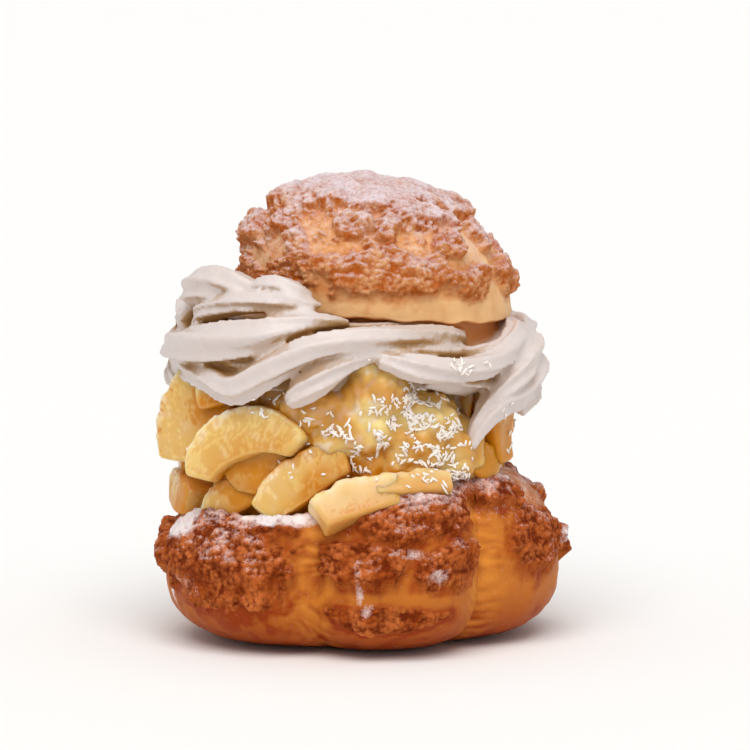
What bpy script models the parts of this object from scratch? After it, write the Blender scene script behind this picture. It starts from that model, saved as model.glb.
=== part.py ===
"""A fruit cream puff: a split choux bun with a crackled crust, filled with pineapple and whipped cream.

Metres, +Z up. The origin is the middle of the bun's flat underside, and -Y is the front.
Azimuths are degrees counter-clockwise from +X seen from above, so that the front is at 270.
"""

import math
import random
from typing import NamedTuple

import bmesh
import bpy
from mathutils import Matrix, Vector, noise
from mathutils.bvhtree import BVHTree

MM = 0.001
CUTTER_GAP = 0.35 * MM
WELD = 0.02 * MM
LEAST_LEFT = 0.12
FLATTEN_DEG = 6.0

# Lower half of the bun
BASE_SEGMENTS = 76
BASE_WALL_STEPS = 13
BELLY_HEIGHT = 15.0 * MM
FOOT_SHARE = 0.47
FOOT_SQUARENESS = 0.5
SHOULDER_SLOPE = 1.1
SHOULDER_RISE = 1.15
LOBE_ROUNDNESS = 0.7
CREASE_AT_FOOT = 7.0 * MM
CREASE_AT_RIM = 3.6 * MM
DISH_FLOOR = 16.0 * MM
RIM_WALL = 3.5 * MM
DISH_EDGE_DROP = 2.0 * MM
TWIST_DEG = 7.0
FOOT_FADE = 2.0 * MM
DISH_RINGS = (0.0, 0.25, 0.6)

# Upper half of the bun
CAP_SEGMENTS = 68
CAP_WALL_STEPS = 15
CAP_CENTRE = Vector((2.3, 1.0, 59.3)) * MM
CAP_TILT = math.radians(5.0)
CAP_REACH = 24.6 * MM
CAP_RISE = 21.7 * MM
CAP_SQUARENESS = 2.45
CROWN_SHIFT = -2.2 * MM
CAP_HOLLOW = 3.5 * MM
CAP_RIM_WALL = 2.0 * MM
CAP_RIM_STEP = 0.2 * MM
CAP_RINGS_BENEATH = (0.0, 0.4)

# Unevenness of the upper half round its middle: waves, where the first lies in degrees, and share
CAP_WAVES = ((3.0, 40.0, 0.022), (5.0, -70.0, 0.014))

# Crust: how ragged its plates are, its crags and the bun's own broad swells
PLATE_RAGGED = 0.22
PLATE_RAGGED_SIZE = 4.5 * MM
PLATE_DEPTH = 2.2
PLATE_EDGE = (0.80, 1.10)
CRAG_HEIGHT = 1.3 * MM
CRAG_SIZE = 4.2 * MM
SWELL_HEIGHT = 0.5 * MM
SWELL_SIZE = 11.0 * MM

# Crushed fruit that the pieces lie in
FILLING_CENTRE = Vector((-4.5, -1.0, 0.0)) * MM
FILLING_REACH = 24.5 * MM
FILLING_TOP = 48.5 * MM
FILLING_LUMP = 0.9 * MM
FILLING_VOXEL = 1.2 * MM
FILLING_GAP = 0.55 * MM
FILLING_TRIANGLES = 560
FILLING_SEGMENTS = 48
FILLING_LUMP_SIZE = 5.0 * MM

# Whipped cream
CREAM_CENTRE = Vector((-4.0, 0.5, 0.0)) * MM
CREAM_REACH = 27.2 * MM
CREAM_TOP_REACH = 25.6 * MM
CREAM_BOTTOM = 47.0 * MM
CREAM_TOP = 59.2 * MM
PLUG_REACH = 22.6 * MM
PLUG_TOP = 63.5 * MM
CREAM_VOXEL = 0.9 * MM
CREAM_TRIANGLES = 1900
CREAM_FLATTEN_DEG = 2.5
CREAM_SEGMENTS = 64
PLUG_SEGMENTS = 48
RIBBON_STEPS = 4

# Pineapple
CHUNK_BEVEL = 0.65 * MM
CHUNK_ARC_STEPS = 5
CHUNK_INNER_STEPS = 3
CHUNK_RIM_DEG = 40.0
CHUNK_UNEVEN = 0.35 * MM
CHUNK_UNEVEN_SIZE = 3.0 * MM

# Coconut
SHRED_LENGTH = 2.5 * MM
SHRED_WIDTH = 0.8 * MM
SHRED_COUNT = 40
SHRED_CLEARANCE = 0.4 * MM
SHRED_SUNK = 0.2 * MM
STEEPEST_SHRED = 0.35
WELL_OUTSIDE = 80.0 * MM

SEED = 7


class Lobe(NamedTuple):
    """One bulge of the lower half, from its first crease round to the next lobe's."""

    start_deg: float
    reach: float
    rim_height: float
    rim_reach: float


LOBES = (
    Lobe(-49.0, 35.8 * MM, 30.5 * MM, 23.0 * MM),
    Lobe(35.0, 36.4 * MM, 28.0 * MM, 27.0 * MM),
    Lobe(95.0, 37.0 * MM, 21.5 * MM, 31.0 * MM),
    Lobe(170.0, 37.7 * MM, 23.5 * MM, 33.0 * MM),
    Lobe(256.0, 36.4 * MM, 29.0 * MM, 29.5 * MM),
)


def clamp(value, low=0.0, high=1.0):
    return max(low, min(high, value))


def smoothstep(low, high, value):
    t = clamp((value - low) / (high - low))
    return t * t * (3.0 - 2.0 * t)


def direction(azimuth_deg):
    angle = math.radians(azimuth_deg)
    return Vector((math.cos(angle), math.sin(angle), 0.0))


def lobe_at(azimuth_deg):
    """The lobe that holds this azimuth, and how far across it the azimuth is, from 0 to 1."""
    first = LOBES[0].start_deg
    turned = (azimuth_deg - first) % 360.0 + first
    ends = [lobe.start_deg for lobe in LOBES[1:]] + [first + 360.0]
    for lobe, end in zip(LOBES, ends):
        if turned < end:
            return lobe, (turned - lobe.start_deg) / (end - lobe.start_deg)
    return LOBES[-1], 1.0


def between_lobes(azimuth_deg, field):
    """A lobe's value, carried smoothly from the middle of each lobe to the middle of the next."""
    lobe, across = lobe_at(azimuth_deg)
    index = LOBES.index(lobe)
    other = LOBES[(index + (1 if across > 0.5 else -1)) % len(LOBES)]
    share = 0.5 * smoothstep(0.0, 1.0, abs(across - 0.5) * 2.0)
    return getattr(lobe, field) * (1.0 - share) + getattr(other, field) * share


def base_wall(azimuth_deg, up):
    """A point of the lower half's outside. up is 0 at the foot, 0.5 at the belly and 1 at the rim."""
    _, across = lobe_at(azimuth_deg - TWIST_DEG * (up - 0.35))
    bulge = abs(math.sin(math.pi * across)) ** LOBE_ROUNDNESS
    crease = CREASE_AT_FOOT + (CREASE_AT_RIM - CREASE_AT_FOOT) * up
    reach = between_lobes(azimuth_deg, "reach") - crease * (1.0 - bulge)
    if up < 0.5:
        angle = (1.0 - up / 0.5) * math.pi / 2.0
        foot = reach * FOOT_SHARE
        radius = foot + (reach - foot) * math.cos(angle)
        height = BELLY_HEIGHT * (1.0 - math.sin(angle) ** FOOT_SQUARENESS)
    else:
        angle = (up - 0.5) / 0.5 * math.pi / 2.0
        rim = between_lobes(azimuth_deg, "rim_reach") - CREASE_AT_RIM * (1.0 - bulge)
        rim_height = between_lobes(azimuth_deg, "rim_height")
        radius = rim + (reach - rim) * math.cos(angle) ** SHOULDER_SLOPE
        height = BELLY_HEIGHT + (rim_height - BELLY_HEIGHT) * math.sin(angle) ** SHOULDER_RISE
    return direction(azimuth_deg) * radius + Vector((0.0, 0.0, height))


def base_dish(azimuth_deg, inward):
    """A point of the cut face that the filling lies on. inward runs from 0 at the rim to 1 at the middle."""
    rim = base_wall(azimuth_deg, 1.0)
    outer = Vector((rim.x, rim.y, 0.0)).length - RIM_WALL
    edge_height = rim.z - DISH_EDGE_DROP
    height = DISH_FLOOR + (edge_height - DISH_FLOOR) * (1.0 - inward) ** 2
    return direction(azimuth_deg) * outer * (1.0 - inward) + Vector((0.0, 0.0, height))


def cap_wall(azimuth_deg, down):
    """A point of the upper half's outside in its own frame. down is 0 at the crown and 1 at the rim."""
    angle = down * math.pi / 2.0
    power = 2.0 / CAP_SQUARENESS
    wobble = 1.0
    for count, first_deg, share in CAP_WAVES:
        wobble += share * math.sin(math.radians(count * azimuth_deg + first_deg))
    radius = CAP_REACH * wobble * math.sin(angle) ** power
    height = CAP_RISE * max(math.cos(angle), 0.0) ** power
    return direction(azimuth_deg) * radius + Vector((CROWN_SHIFT * height / CAP_RISE, 0.0, height))


def cap_under(azimuth_deg, inward):
    """A point of the upper half's hollowed cut face in its own frame."""
    outer = cap_wall(azimuth_deg, 1.0).length - CAP_RIM_WALL
    height = CAP_HOLLOW * (1.0 - (1.0 - inward) ** 2)
    return direction(azimuth_deg) * outer * (1.0 - inward) + Vector((0.0, 0.0, height + CAP_RIM_STEP))


class Patch(NamedTuple):
    """One plate of the crackled crust: where it lies, its half sizes, and how far it stands up."""

    azimuth_deg: float
    along: float
    half_width: float
    half_height: float
    lift: float
    turn_deg: float = 0.0


# Plates of the lower half, with along as base_wall's up
BASE_PATCHES = (
    Patch(223.0, 0.63, 16.5 * MM, 8.6 * MM, 1.4 * MM, -5.0),
    Patch(232.0, 0.90, 10.0 * MM, 3.2 * MM, 1.5 * MM, -3.0),
    Patch(186.0, 0.60, 6.0 * MM, 5.5 * MM, 1.6 * MM),
    Patch(287.0, 0.84, 13.0 * MM, 6.2 * MM, 1.7 * MM, 14.0),
    Patch(271.0, 0.59, 8.5 * MM, 4.2 * MM, 1.7 * MM, -6.0),
    Patch(298.0, 0.55, 8.5 * MM, 4.4 * MM, 1.5 * MM, 12.0),
    Patch(277.0, 0.42, 10.5 * MM, 2.6 * MM, 0.7 * MM),
    Patch(318.0, 0.88, 8.5 * MM, 4.5 * MM, 2.0 * MM, -12.0),
    Patch(338.0, 0.60, 8.5 * MM, 6.0 * MM, 1.3 * MM),
    Patch(1.0, 0.55, 6.5 * MM, 2.9 * MM, 2.1 * MM, -10.0),
    Patch(22.0, 0.84, 9.5 * MM, 6.0 * MM, 1.7 * MM, 10.0),
    Patch(60.0, 0.70, 11.5 * MM, 7.5 * MM, 1.6 * MM, -8.0),
    Patch(84.0, 0.58, 6.0 * MM, 5.0 * MM, 1.5 * MM),
    Patch(116.0, 0.74, 12.0 * MM, 7.5 * MM, 1.7 * MM, 6.0),
    Patch(148.0, 0.64, 10.0 * MM, 7.0 * MM, 1.6 * MM, -10.0),
)

# Plates of the upper half, with along as cap_wall's down
CAP_PATCHES = (
    Patch(200.0, 0.05, 19.8 * MM, 17.6 * MM, 2.1 * MM),
    Patch(0.0, 0.34, 8.0 * MM, 4.5 * MM, 2.3 * MM),
    Patch(188.0, 0.40, 6.5 * MM, 3.2 * MM, 2.6 * MM),
    Patch(228.0, 0.62, 6.5 * MM, 2.2 * MM, 1.4 * MM, 32.0),
    Patch(232.0, 0.86, 7.5 * MM, 3.0 * MM, 1.4 * MM, -8.0),
    Patch(274.0, 0.78, 15.5 * MM, 4.6 * MM, 1.8 * MM, -3.0),
    Patch(258.0, 0.55, 2.8 * MM, 2.4 * MM, 1.3 * MM),
    Patch(309.0, 0.62, 3.4 * MM, 2.6 * MM, 1.6 * MM, 20.0),
    Patch(318.0, 0.82, 4.5 * MM, 3.4 * MM, 1.5 * MM, -14.0),
    Patch(345.0, 0.55, 5.5 * MM, 3.6 * MM, 1.8 * MM),
    Patch(352.0, 0.80, 6.0 * MM, 4.0 * MM, 1.7 * MM, 8.0),
    Patch(20.0, 0.70, 7.0 * MM, 4.5 * MM, 1.6 * MM, -10.0),
    Patch(48.0, 0.84, 8.0 * MM, 3.6 * MM, 1.5 * MM, 6.0),
    Patch(60.0, 0.58, 7.0 * MM, 3.4 * MM, 1.5 * MM),
    Patch(88.0, 0.76, 7.5 * MM, 5.0 * MM, 1.7 * MM, -8.0),
    Patch(116.0, 0.62, 7.0 * MM, 4.0 * MM, 1.5 * MM, 12.0),
    Patch(130.0, 0.86, 8.0 * MM, 3.4 * MM, 1.5 * MM),
    Patch(158.0, 0.74, 7.5 * MM, 4.6 * MM, 1.6 * MM, -6.0),
    Patch(184.0, 0.64, 6.0 * MM, 3.4 * MM, 2.4 * MM, 10.0),
    Patch(196.0, 0.90, 6.0 * MM, 3.0 * MM, 1.2 * MM),
)


def patch_frame(surface, patch):
    """(middle, tangent across, tangent up, outward) of a plate on a surface function."""
    along = max(patch.along, 0.02)
    middle = surface(patch.azimuth_deg, patch.along)
    across = surface(patch.azimuth_deg + 1.0, along) - surface(patch.azimuth_deg - 1.0, along)
    across.normalize()
    low = surface(patch.azimuth_deg, clamp(patch.along - 0.03))
    high = surface(patch.azimuth_deg, clamp(patch.along + 0.03))
    outward = across.cross(high - low).normalized()
    upward = outward.cross(across).normalized()
    spin = Matrix.Rotation(math.radians(patch.turn_deg), 3, outward)
    return middle, spin @ across, spin @ upward, outward


def crust_lift(point, patches, frames):
    """How far the crust stands off the bun at a point: plates with ragged edges and broad crags."""
    ragged = PLATE_RAGGED * noise.noise(point / PLATE_RAGGED_SIZE)
    best = 0.0
    for patch, (middle, across, upward, outward) in zip(patches, frames):
        offset = point - middle
        a = offset.dot(across) / patch.half_width
        b = offset.dot(upward) / patch.half_height
        c = offset.dot(outward) / (PLATE_DEPTH * patch.half_width)
        distance = math.sqrt(a * a + b * b + c * c) + ragged
        best = max(best, patch.lift * (1.0 - smoothstep(*PLATE_EDGE, distance)))
    crag = CRAG_HEIGHT * noise.noise(point / CRAG_SIZE) * smoothstep(0.0, 1.0 * MM, best)
    swell = SWELL_HEIGHT * noise.noise(point / SWELL_SIZE + Vector((3.0, 0.0, 0.0)))
    return best + crag + swell


def mesh_object(name, bm):
    mesh = bpy.data.meshes.new(name)
    bm.to_mesh(mesh)
    bm.free()
    obj = bpy.data.objects.new(name, mesh)
    bpy.context.scene.collection.objects.link(obj)
    return obj


def turned_body(name, rings, segments):
    """A closed body from rings, each a function of azimuth or a single point for a pole."""
    bm = bmesh.new()
    made = []
    for ring in rings:
        if isinstance(ring, Vector):
            made.append([bm.verts.new(ring)])
        else:
            made.append([bm.verts.new(ring(360.0 * i / segments)) for i in range(segments)])
    for low, high in zip(made, made[1:]):
        for i in range(segments):
            j = (i + 1) % segments
            corners = [low[i % len(low)], low[j % len(low)], high[j % len(high)], high[i % len(high)]]
            bm.faces.new(list(dict.fromkeys(corners)))
    bmesh.ops.recalc_face_normals(bm, faces=bm.faces)
    bm.normal_update()
    return mesh_object(name, bm)


def raise_crust(obj, surface, patches, wall, foot=None):
    """Moves each point of the wall, a range of vertex numbers, out along its normal by the crust's lift.

    Where a foot height is given, the lift fades out towards the ground, so that the foot stays flat.
    """
    frames = [patch_frame(surface, patch) for patch in patches]
    vertices = obj.data.vertices
    normals = [vertices[i].normal.copy() for i in wall]
    for i, normal in zip(wall, normals):
        share = 1.0 if foot is None else smoothstep(0.0, foot, vertices[i].co.z)
        vertices[i].co += normal * crust_lift(vertices[i].co, patches, frames) * share


def make_base():
    """The lower half: flat foot, lobed wall with its crust, and a shallow dish cut for the filling."""

    def wall_ring(up):
        return lambda azimuth: base_wall(azimuth, up)

    def foot_ring(share):
        def ring(azimuth):
            edge = base_wall(azimuth, 0.0)
            return Vector((edge.x * share, edge.y * share, 0.0))

        return ring

    def dish_ring(inward):
        return lambda azimuth: base_dish(azimuth, inward)

    rings = [Vector((0.0, 0.0, 0.0)), foot_ring(0.5)]
    rings += [wall_ring(step / BASE_WALL_STEPS) for step in range(BASE_WALL_STEPS + 1)]
    rings += [dish_ring(inward) for inward in DISH_RINGS]
    rings.append(Vector((0.0, 0.0, DISH_FLOOR)))
    obj = turned_body("choux_base", rings, BASE_SEGMENTS)
    first = 1 + BASE_SEGMENTS
    wall = range(first, first + BASE_SEGMENTS * (BASE_WALL_STEPS + 1))
    raise_crust(obj, base_wall, BASE_PATCHES, wall, foot=FOOT_FADE)
    tidy(obj)
    return obj


def make_cap():
    """The upper half: a squarish dome with its crust, sunk a little beneath, and leaning to the right."""

    def wall_ring(down):
        return lambda azimuth: cap_wall(azimuth, down)

    def under_ring(inward):
        return lambda azimuth: cap_under(azimuth, inward)

    rings = [Vector((CROWN_SHIFT, 0.0, CAP_RISE))]
    rings += [wall_ring(step / CAP_WALL_STEPS) for step in range(1, CAP_WALL_STEPS + 1)]
    rings += [under_ring(inward) for inward in CAP_RINGS_BENEATH]
    rings.append(Vector((0.0, 0.0, CAP_HOLLOW)))
    obj = turned_body("choux_cap", rings, CAP_SEGMENTS)
    raise_crust(obj, cap_wall, CAP_PATCHES, range(0, 1 + CAP_SEGMENTS * CAP_WALL_STEPS))
    tidy(obj)
    obj.data.transform(Matrix.Translation(CAP_CENTRE) @ Matrix.Rotation(CAP_TILT, 4, "Y"))
    return obj


class Chunk(NamedTuple):
    """A piece of a pineapple ring: its middle in mm, how it is turned, and its size in mm.

    facing is the azimuth that its broad face looks to, turn tips its outer arc to the left as seen from
    there, and lean tips the broad face upwards. span is its share of the ring's circle. point is the share
    of its size that it loses towards either end of the arc.
    """

    x: float
    y: float
    z: float
    facing_deg: float
    turn_deg: float
    lean_deg: float
    outer: float
    span_deg: float
    width: float
    thick: float
    point: float


FRONT_CHUNKS = (
    Chunk(-0.9, -31.0, 28.3, 276.0, 17.0, 34.0, 40.0, 25.0, 7.2, 6.0, 0.1),
    Chunk(8.6, -28.4, 30.6, 286.0, 4.0, 46.0, 60.0, 15.0, 5.4, 5.0, 0.3),
    Chunk(-10.8, -25.6, 31.3, 261.0, 36.0, 14.0, 34.0, 36.0, 9.0, 7.0, 0.35),
    Chunk(-22.4, -18.6, 26.9, 243.0, 30.0, 10.0, 26.0, 31.0, 7.0, 8.0, 0.4),
    Chunk(-21.0, -22.2, 39.2, 248.0, 20.0, 12.0, 16.2, 118.0, 9.4, 7.5, 0.45),
    Chunk(-17.8, -21.8, 33.2, 250.0, 14.0, 6.0, 20.0, 46.0, 10.0, 7.0, 0.45),
    Chunk(-28.2, -12.2, 40.2, 230.0, 74.0, 6.0, 42.0, 27.0, 16.5, 8.0, 0.2),
    Chunk(-30.8, -6.4, 26.6, 200.0, -12.0, 4.0, 24.0, 28.0, 8.0, 7.0, 0.3),
    Chunk(-25.6, -17.4, 46.2, 238.0, 12.0, 10.0, 20.0, 24.0, 6.4, 6.0, 0.2),
    Chunk(23.2, -12.0, 37.4, 330.0, 8.0, 0.0, 24.0, 20.0, 9.6, 7.0, 0.1),
    Chunk(19.8, -15.4, 33.6, 318.0, -24.0, 4.0, 26.0, 24.0, 7.0, 7.0, 0.3),
)

# Pieces round the back, laid by a rule in two tiers
BACK_FROM_DEG = -14.0
BACK_TO_DEG = 186.0
BACK_TIERS = ((31.0, 21.8), (41.5, 22.6))
BACK_STEP_DEG = 33.0
BACK_TURN = (8.0, 42.0)

# Least and most lean, outer radius, span, width, thickness and point of these pieces
BACK_SIZES = ((4.0, 18.0), (25.0, 34.0), (28.0, 38.0), (8.0, 13.0), (7.0, 8.0), (0.1, 0.5))


def all_chunks():
    """The pieces that the front shows, then the pieces round the back, in the order they are laid."""
    chunks = list(FRONT_CHUNKS)
    rng = random.Random(SEED)
    for tier, (height, reach) in enumerate(BACK_TIERS):
        azimuth = BACK_FROM_DEG + tier * BACK_STEP_DEG / 2.0
        while azimuth < BACK_TO_DEG - tier * BACK_STEP_DEG / 2.0:
            swing = azimuth + rng.uniform(-4.0, 4.0)
            toward_left = smoothstep(60.0, 180.0, swing)
            toward_back = smoothstep(0.0, 60.0, swing)
            swell = 3.2 * toward_back + 4.6 * toward_left
            middle = direction(swing) * (reach + swell + rng.uniform(-0.8, 0.8))
            lift = height - (4.0 * toward_left if tier == 0 else 2.0 * toward_left) + rng.uniform(-1.2, 1.2)
            turn = rng.choice((-1.0, 1.0)) * rng.uniform(*BACK_TURN)
            sizes = [rng.uniform(*ends) for ends in BACK_SIZES]
            chunks.append(Chunk(middle.x, middle.y, lift, swing, turn, *sizes))
            azimuth += BACK_STEP_DEG
    return chunks


def chunk_matrix(chunk):
    """Turns a piece's own axes, across, up and out of its broad face, into the puff's."""
    lean = math.radians(chunk.lean_deg)
    face = direction(chunk.facing_deg) * math.cos(lean) + Vector((0.0, 0.0, math.sin(lean)))
    across = direction(chunk.facing_deg + 90.0)
    upward = face.cross(across)
    turn = Matrix.Rotation(math.radians(chunk.turn_deg), 3, "Z")
    turned = Matrix((across, upward, face)).transposed() @ turn
    return Matrix.Translation(Vector((chunk.x, chunk.y, chunk.z)) * MM) @ turned.to_4x4()


def make_chunk(name, chunk):
    """A wedge cut from a pineapple ring: outer arc, inner arc and two cut ends, with worn edges."""
    bm = bmesh.new()
    half = math.radians(chunk.span_deg) / 2.0
    middle_radius = chunk.outer - chunk.width / 2.0

    def on_arc(share, side):
        """A corner at a share of the half span, on the outer arc for side 1 or the inner for side -1."""
        slim = 1.0 - chunk.point * share ** 2
        radius = middle_radius + side * chunk.width / 2.0 * slim
        angle = half * share
        depth = -chunk.thick / 2.0 * (0.4 + 0.6 * slim)
        return Vector((radius * math.sin(angle), radius * math.cos(angle) - middle_radius, depth)) * MM

    outline = [on_arc(1.0 - 2.0 * step / CHUNK_ARC_STEPS, 1.0) for step in range(CHUNK_ARC_STEPS + 1)]
    for step in range(CHUNK_INNER_STEPS + 1):
        outline.append(on_arc(2.0 * step / CHUNK_INNER_STEPS - 1.0, -1.0))
    back = bm.faces.new([bm.verts.new(corner) for corner in outline])
    made = bmesh.ops.extrude_face_region(bm, geom=[back])["geom"]
    for item in made:
        if isinstance(item, bmesh.types.BMVert):
            item.co.z = -item.co.z
    bmesh.ops.recalc_face_normals(bm, faces=bm.faces)
    rims = [edge for edge in bm.edges if edge.calc_face_angle() > math.radians(CHUNK_RIM_DEG)]
    bmesh.ops.bevel(bm, geom=rims, offset=CHUNK_BEVEL, affect="EDGES", segments=1, profile=0.5, material=-1)
    bmesh.ops.triangulate(bm, faces=bm.faces)
    for vertex in bm.verts:
        worn = noise.noise(vertex.co / CHUNK_UNEVEN_SIZE + Vector((chunk.x, chunk.z, 0.0)))
        vertex.co += vertex.co.normalized() * CHUNK_UNEVEN * worn
    bm.transform(chunk_matrix(chunk))
    return mesh_object(name, bm)


class Ribbon(NamedTuple):
    """One piped ribbon of cream: stations of azimuth in degrees, reach, height and half thickness in mm."""

    stations: tuple


RIBBONS = (
    # Two short curls that lap over the upper half's edge
    Ribbon((
        (182, 29.5, 60.5, 1.6), (195, 31.0, 63.4, 2.9), (210, 29.6, 65.2, 3.1),
        (223, 28.4, 64.8, 2.4), (229, 26.0, 64.0, 1.0),
    )),
    Ribbon((
        (225, 28.2, 63.6, 1.2), (231, 28.4, 65.0, 1.9), (238, 28.0, 65.6, 2.1),
        (245, 27.4, 65.0, 1.6), (250, 26.0, 63.8, 0.8),
    )),
    # A thin ribbon under them
    Ribbon((
        (196, 30.6, 57.6, 1.2), (207, 31.2, 60.2, 2.0), (225, 30.6, 62.4, 1.9),
        (240, 29.2, 63.0, 1.8), (249, 27.8, 62.8, 1.2), (254, 26.4, 62.4, 0.7),
    )),
    # The broad ribbon that sweeps up from the left
    Ribbon((
        (150, 29.0, 56.0, 1.6), (166, 31.8, 53.6, 2.9), (182, 33.0, 52.0, 3.3),
        (200, 33.4, 53.2, 3.6), (218, 33.0, 54.8, 3.9), (236, 32.2, 57.0, 3.5),
        (244, 31.0, 58.6, 2.8), (252, 29.2, 59.8, 1.9), (259, 27.4, 59.8, 1.2),
        (265, 25.8, 59.4, 0.7),
    )),
    # The long ribbon that dips, climbs and runs under the upper half to the right
    Ribbon((
        (186, 31.6, 48.4, 1.8), (200, 33.0, 49.4, 2.3), (216, 33.4, 48.8, 2.5),
        (229, 33.6, 47.6, 2.8), (241, 33.2, 51.4, 2.8), (253, 32.4, 55.2, 2.5),
        (266, 30.6, 57.0, 2.2), (285, 28.0, 57.4, 1.8), (304, 25.8, 56.8, 1.7),
        (320, 23.4, 55.6, 1.3),
    )),
    # The ribbon below it, above the fruit
    Ribbon((
        (246, 31.6, 45.6, 1.3), (250, 32.0, 47.4, 2.3), (256, 31.6, 49.8, 2.5),
        (263, 30.4, 52.2, 2.1), (272, 29.2, 54.0, 1.5), (284, 28.2, 54.4, 1.4),
        (298, 27.4, 54.0, 1.4), (310, 26.8, 53.6, 1.2), (322, 25.8, 53.2, 0.9),
    )),
    # The ribbon that hangs in a bow at the right and climbs to the edge
    Ribbon((
        (276, 29.4, 53.4, 1.4), (289, 30.6, 51.8, 2.4), (303, 31.0, 51.0, 2.2),
        (317, 30.8, 51.5, 2.3), (331, 29.8, 53.4, 2.4), (345, 28.4, 55.4, 2.2),
        (356, 26.6, 56.8, 1.5),
    )),
    # The fold that hangs at the right, and its thin tail over the fruit
    Ribbon((
        (8, 26.4, 54.0, 2.2), (356, 29.0, 53.2, 3.3), (346, 30.2, 50.6, 4.3),
        (335, 30.0, 46.4, 3.7), (325, 29.4, 44.2, 2.9), (317, 29.0, 40.6, 1.9),
        (312, 28.6, 36.4, 1.0),
    )),
    Ribbon((
        (4, 28.6, 50.6, 2.0), (354, 30.6, 47.0, 2.6), (344, 31.0, 43.8, 2.0),
        (338, 30.6, 41.6, 1.0),
    )),
    # The smooth face of that fold
    Ribbon((
        (351, 29.4, 55.0, 1.4), (343, 31.0, 52.6, 2.4), (334, 31.4, 49.6, 2.7),
        (326, 30.8, 46.8, 2.1), (321, 30.0, 44.6, 1.2),
    )),
    # The soft mass behind these folds
    Ribbon((
        (296, 25.4, 50.4, 2.6), (315, 25.8, 49.8, 3.8), (335, 26.0, 50.4, 4.4),
        (355, 26.0, 52.0, 4.4), (15, 25.4, 53.0, 3.4),
    )),
    # Cream that shows between the folds at the left
    Ribbon((
        (203, 29.8, 50.4, 1.6), (216, 30.6, 51.2, 2.6), (230, 30.8, 51.6, 2.6), (243, 29.8, 54.6, 2.2),
        (254, 28.6, 57.0, 1.4),
    )),
    # The side seen at the left edge
    Ribbon((
        (198, 32.0, 45.6, 1.4), (186, 33.4, 47.0, 2.4), (172, 33.2, 48.4, 2.6),
        (158, 32.0, 49.2, 2.4), (140, 30.4, 49.6, 1.6),
    )),
    Ribbon((
        (190, 31.2, 57.2, 2.0), (174, 31.6, 58.4, 2.8), (156, 30.4, 59.8, 2.8),
        (138, 28.6, 60.6, 1.6),
    )),
)

# Ribbons round the back, piped by a rule in tiers of height, reach, half thickness and first azimuth
BACK_RIBBONS = (
    (48.6, 29.2, 2.5, 14.0),
    (53.0, 30.0, 2.8, -2.0),
    (57.6, 28.8, 2.7, 20.0),
    (61.6, 26.8, 2.1, 52.0),
)
BACK_RIBBON_TO_DEG = 158.0
BACK_RIBBON_STEP_DEG = 18.0


def all_ribbons():
    ribbons = list(RIBBONS)
    for tier, (height, reach, half, start) in enumerate(BACK_RIBBONS):
        count = int((BACK_RIBBON_TO_DEG - start) / BACK_RIBBON_STEP_DEG)
        stations = []
        for i in range(count + 1):
            azimuth = start + i * BACK_RIBBON_STEP_DEG
            wave = math.sin(math.radians(azimuth * 2.3 + 75.0 * tier))
            taper = 0.45 if i in (0, count) else 1.0
            toward_left = smoothstep(40.0, 150.0, azimuth)
            swell = 1.6 * toward_left + 0.5 * wave
            stations.append((azimuth, reach + swell, height + 1.4 * wave, half * taper))
        ribbons.append(Ribbon(tuple(stations)))
    return ribbons


def ribbon_path(ribbon):
    """Points and half thicknesses along a smooth curve through the ribbon's stations, in metres."""
    knots = []
    for azimuth, reach, height, half in ribbon.stations:
        place = direction(azimuth) * reach + Vector((0.0, 0.0, height))
        knots.append(Vector((place.x, place.y, place.z, half)) * MM)
    knots = [2.0 * knots[0] - knots[1]] + knots + [2.0 * knots[-1] - knots[-2]]
    path = []
    for i in range(1, len(knots) - 2):
        before, start, end, after = knots[i - 1:i + 3]
        for step in range(RIBBON_STEPS):
            t = step / RIBBON_STEPS
            point = 2.0 * start + (end - before) * t
            point += (2.0 * before - 5.0 * start + 4.0 * end - after) * t * t
            point += (3.0 * start - before - 3.0 * end + after) * t * t * t
            path.append(0.5 * point)
    path.append(knots[-2])
    return path


def evaluated_mesh(obj):
    bpy.context.view_layer.update()
    graph = bpy.context.evaluated_depsgraph_get()
    return bpy.data.meshes.new_from_object(obj.evaluated_get(graph), depsgraph=graph)


def remove(obj):
    bpy.data.objects.remove(obj)


def bake(obj):
    """Replaces an object's mesh by what its modifiers make of it."""
    mesh = evaluated_mesh(obj)
    obj.modifiers.clear()
    obj.data = mesh


def ribbon_mesh(ribbon):
    """The ribbon as a round tube with closed ends."""
    path = ribbon_path(ribbon)
    curve = bpy.data.curves.new("ribbon", "CURVE")
    curve.dimensions = "3D"
    curve.bevel_depth = 1.0
    curve.bevel_resolution = 3
    curve.use_fill_caps = True
    spline = curve.splines.new("POLY")
    spline.points.add(len(path) - 1)
    for point, knot in zip(spline.points, path):
        point.co = (knot.x, knot.y, knot.z, 1.0)
        point.radius = max(knot.w, 0.5 * MM)
    tube = bpy.data.objects.new("ribbon", curve)
    bpy.context.scene.collection.objects.link(tube)
    mesh = evaluated_mesh(tube)
    remove(tube)
    return mesh


def add_drum(bm, segments, centre, bottom, top):
    """Adds a closed drum round the centre. bottom and top are each a height and the reach there."""
    (low, low_reach), (high, high_reach) = bottom, top
    place = Matrix.Translation(centre + Vector((0.0, 0.0, (low + high) / 2.0)))
    bmesh.ops.create_cone(
        bm, cap_ends=True, segments=segments, radius1=low_reach, radius2=high_reach, depth=high - low,
        matrix=place,
    )


def run_together(obj, voxel):
    """Makes one closed skin round all the bodies in an object."""
    skin = obj.modifiers.new("run_together", "REMESH")
    skin.mode = "VOXEL"
    skin.voxel_size = voxel
    bake(obj)
    keep_largest(obj)


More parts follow.
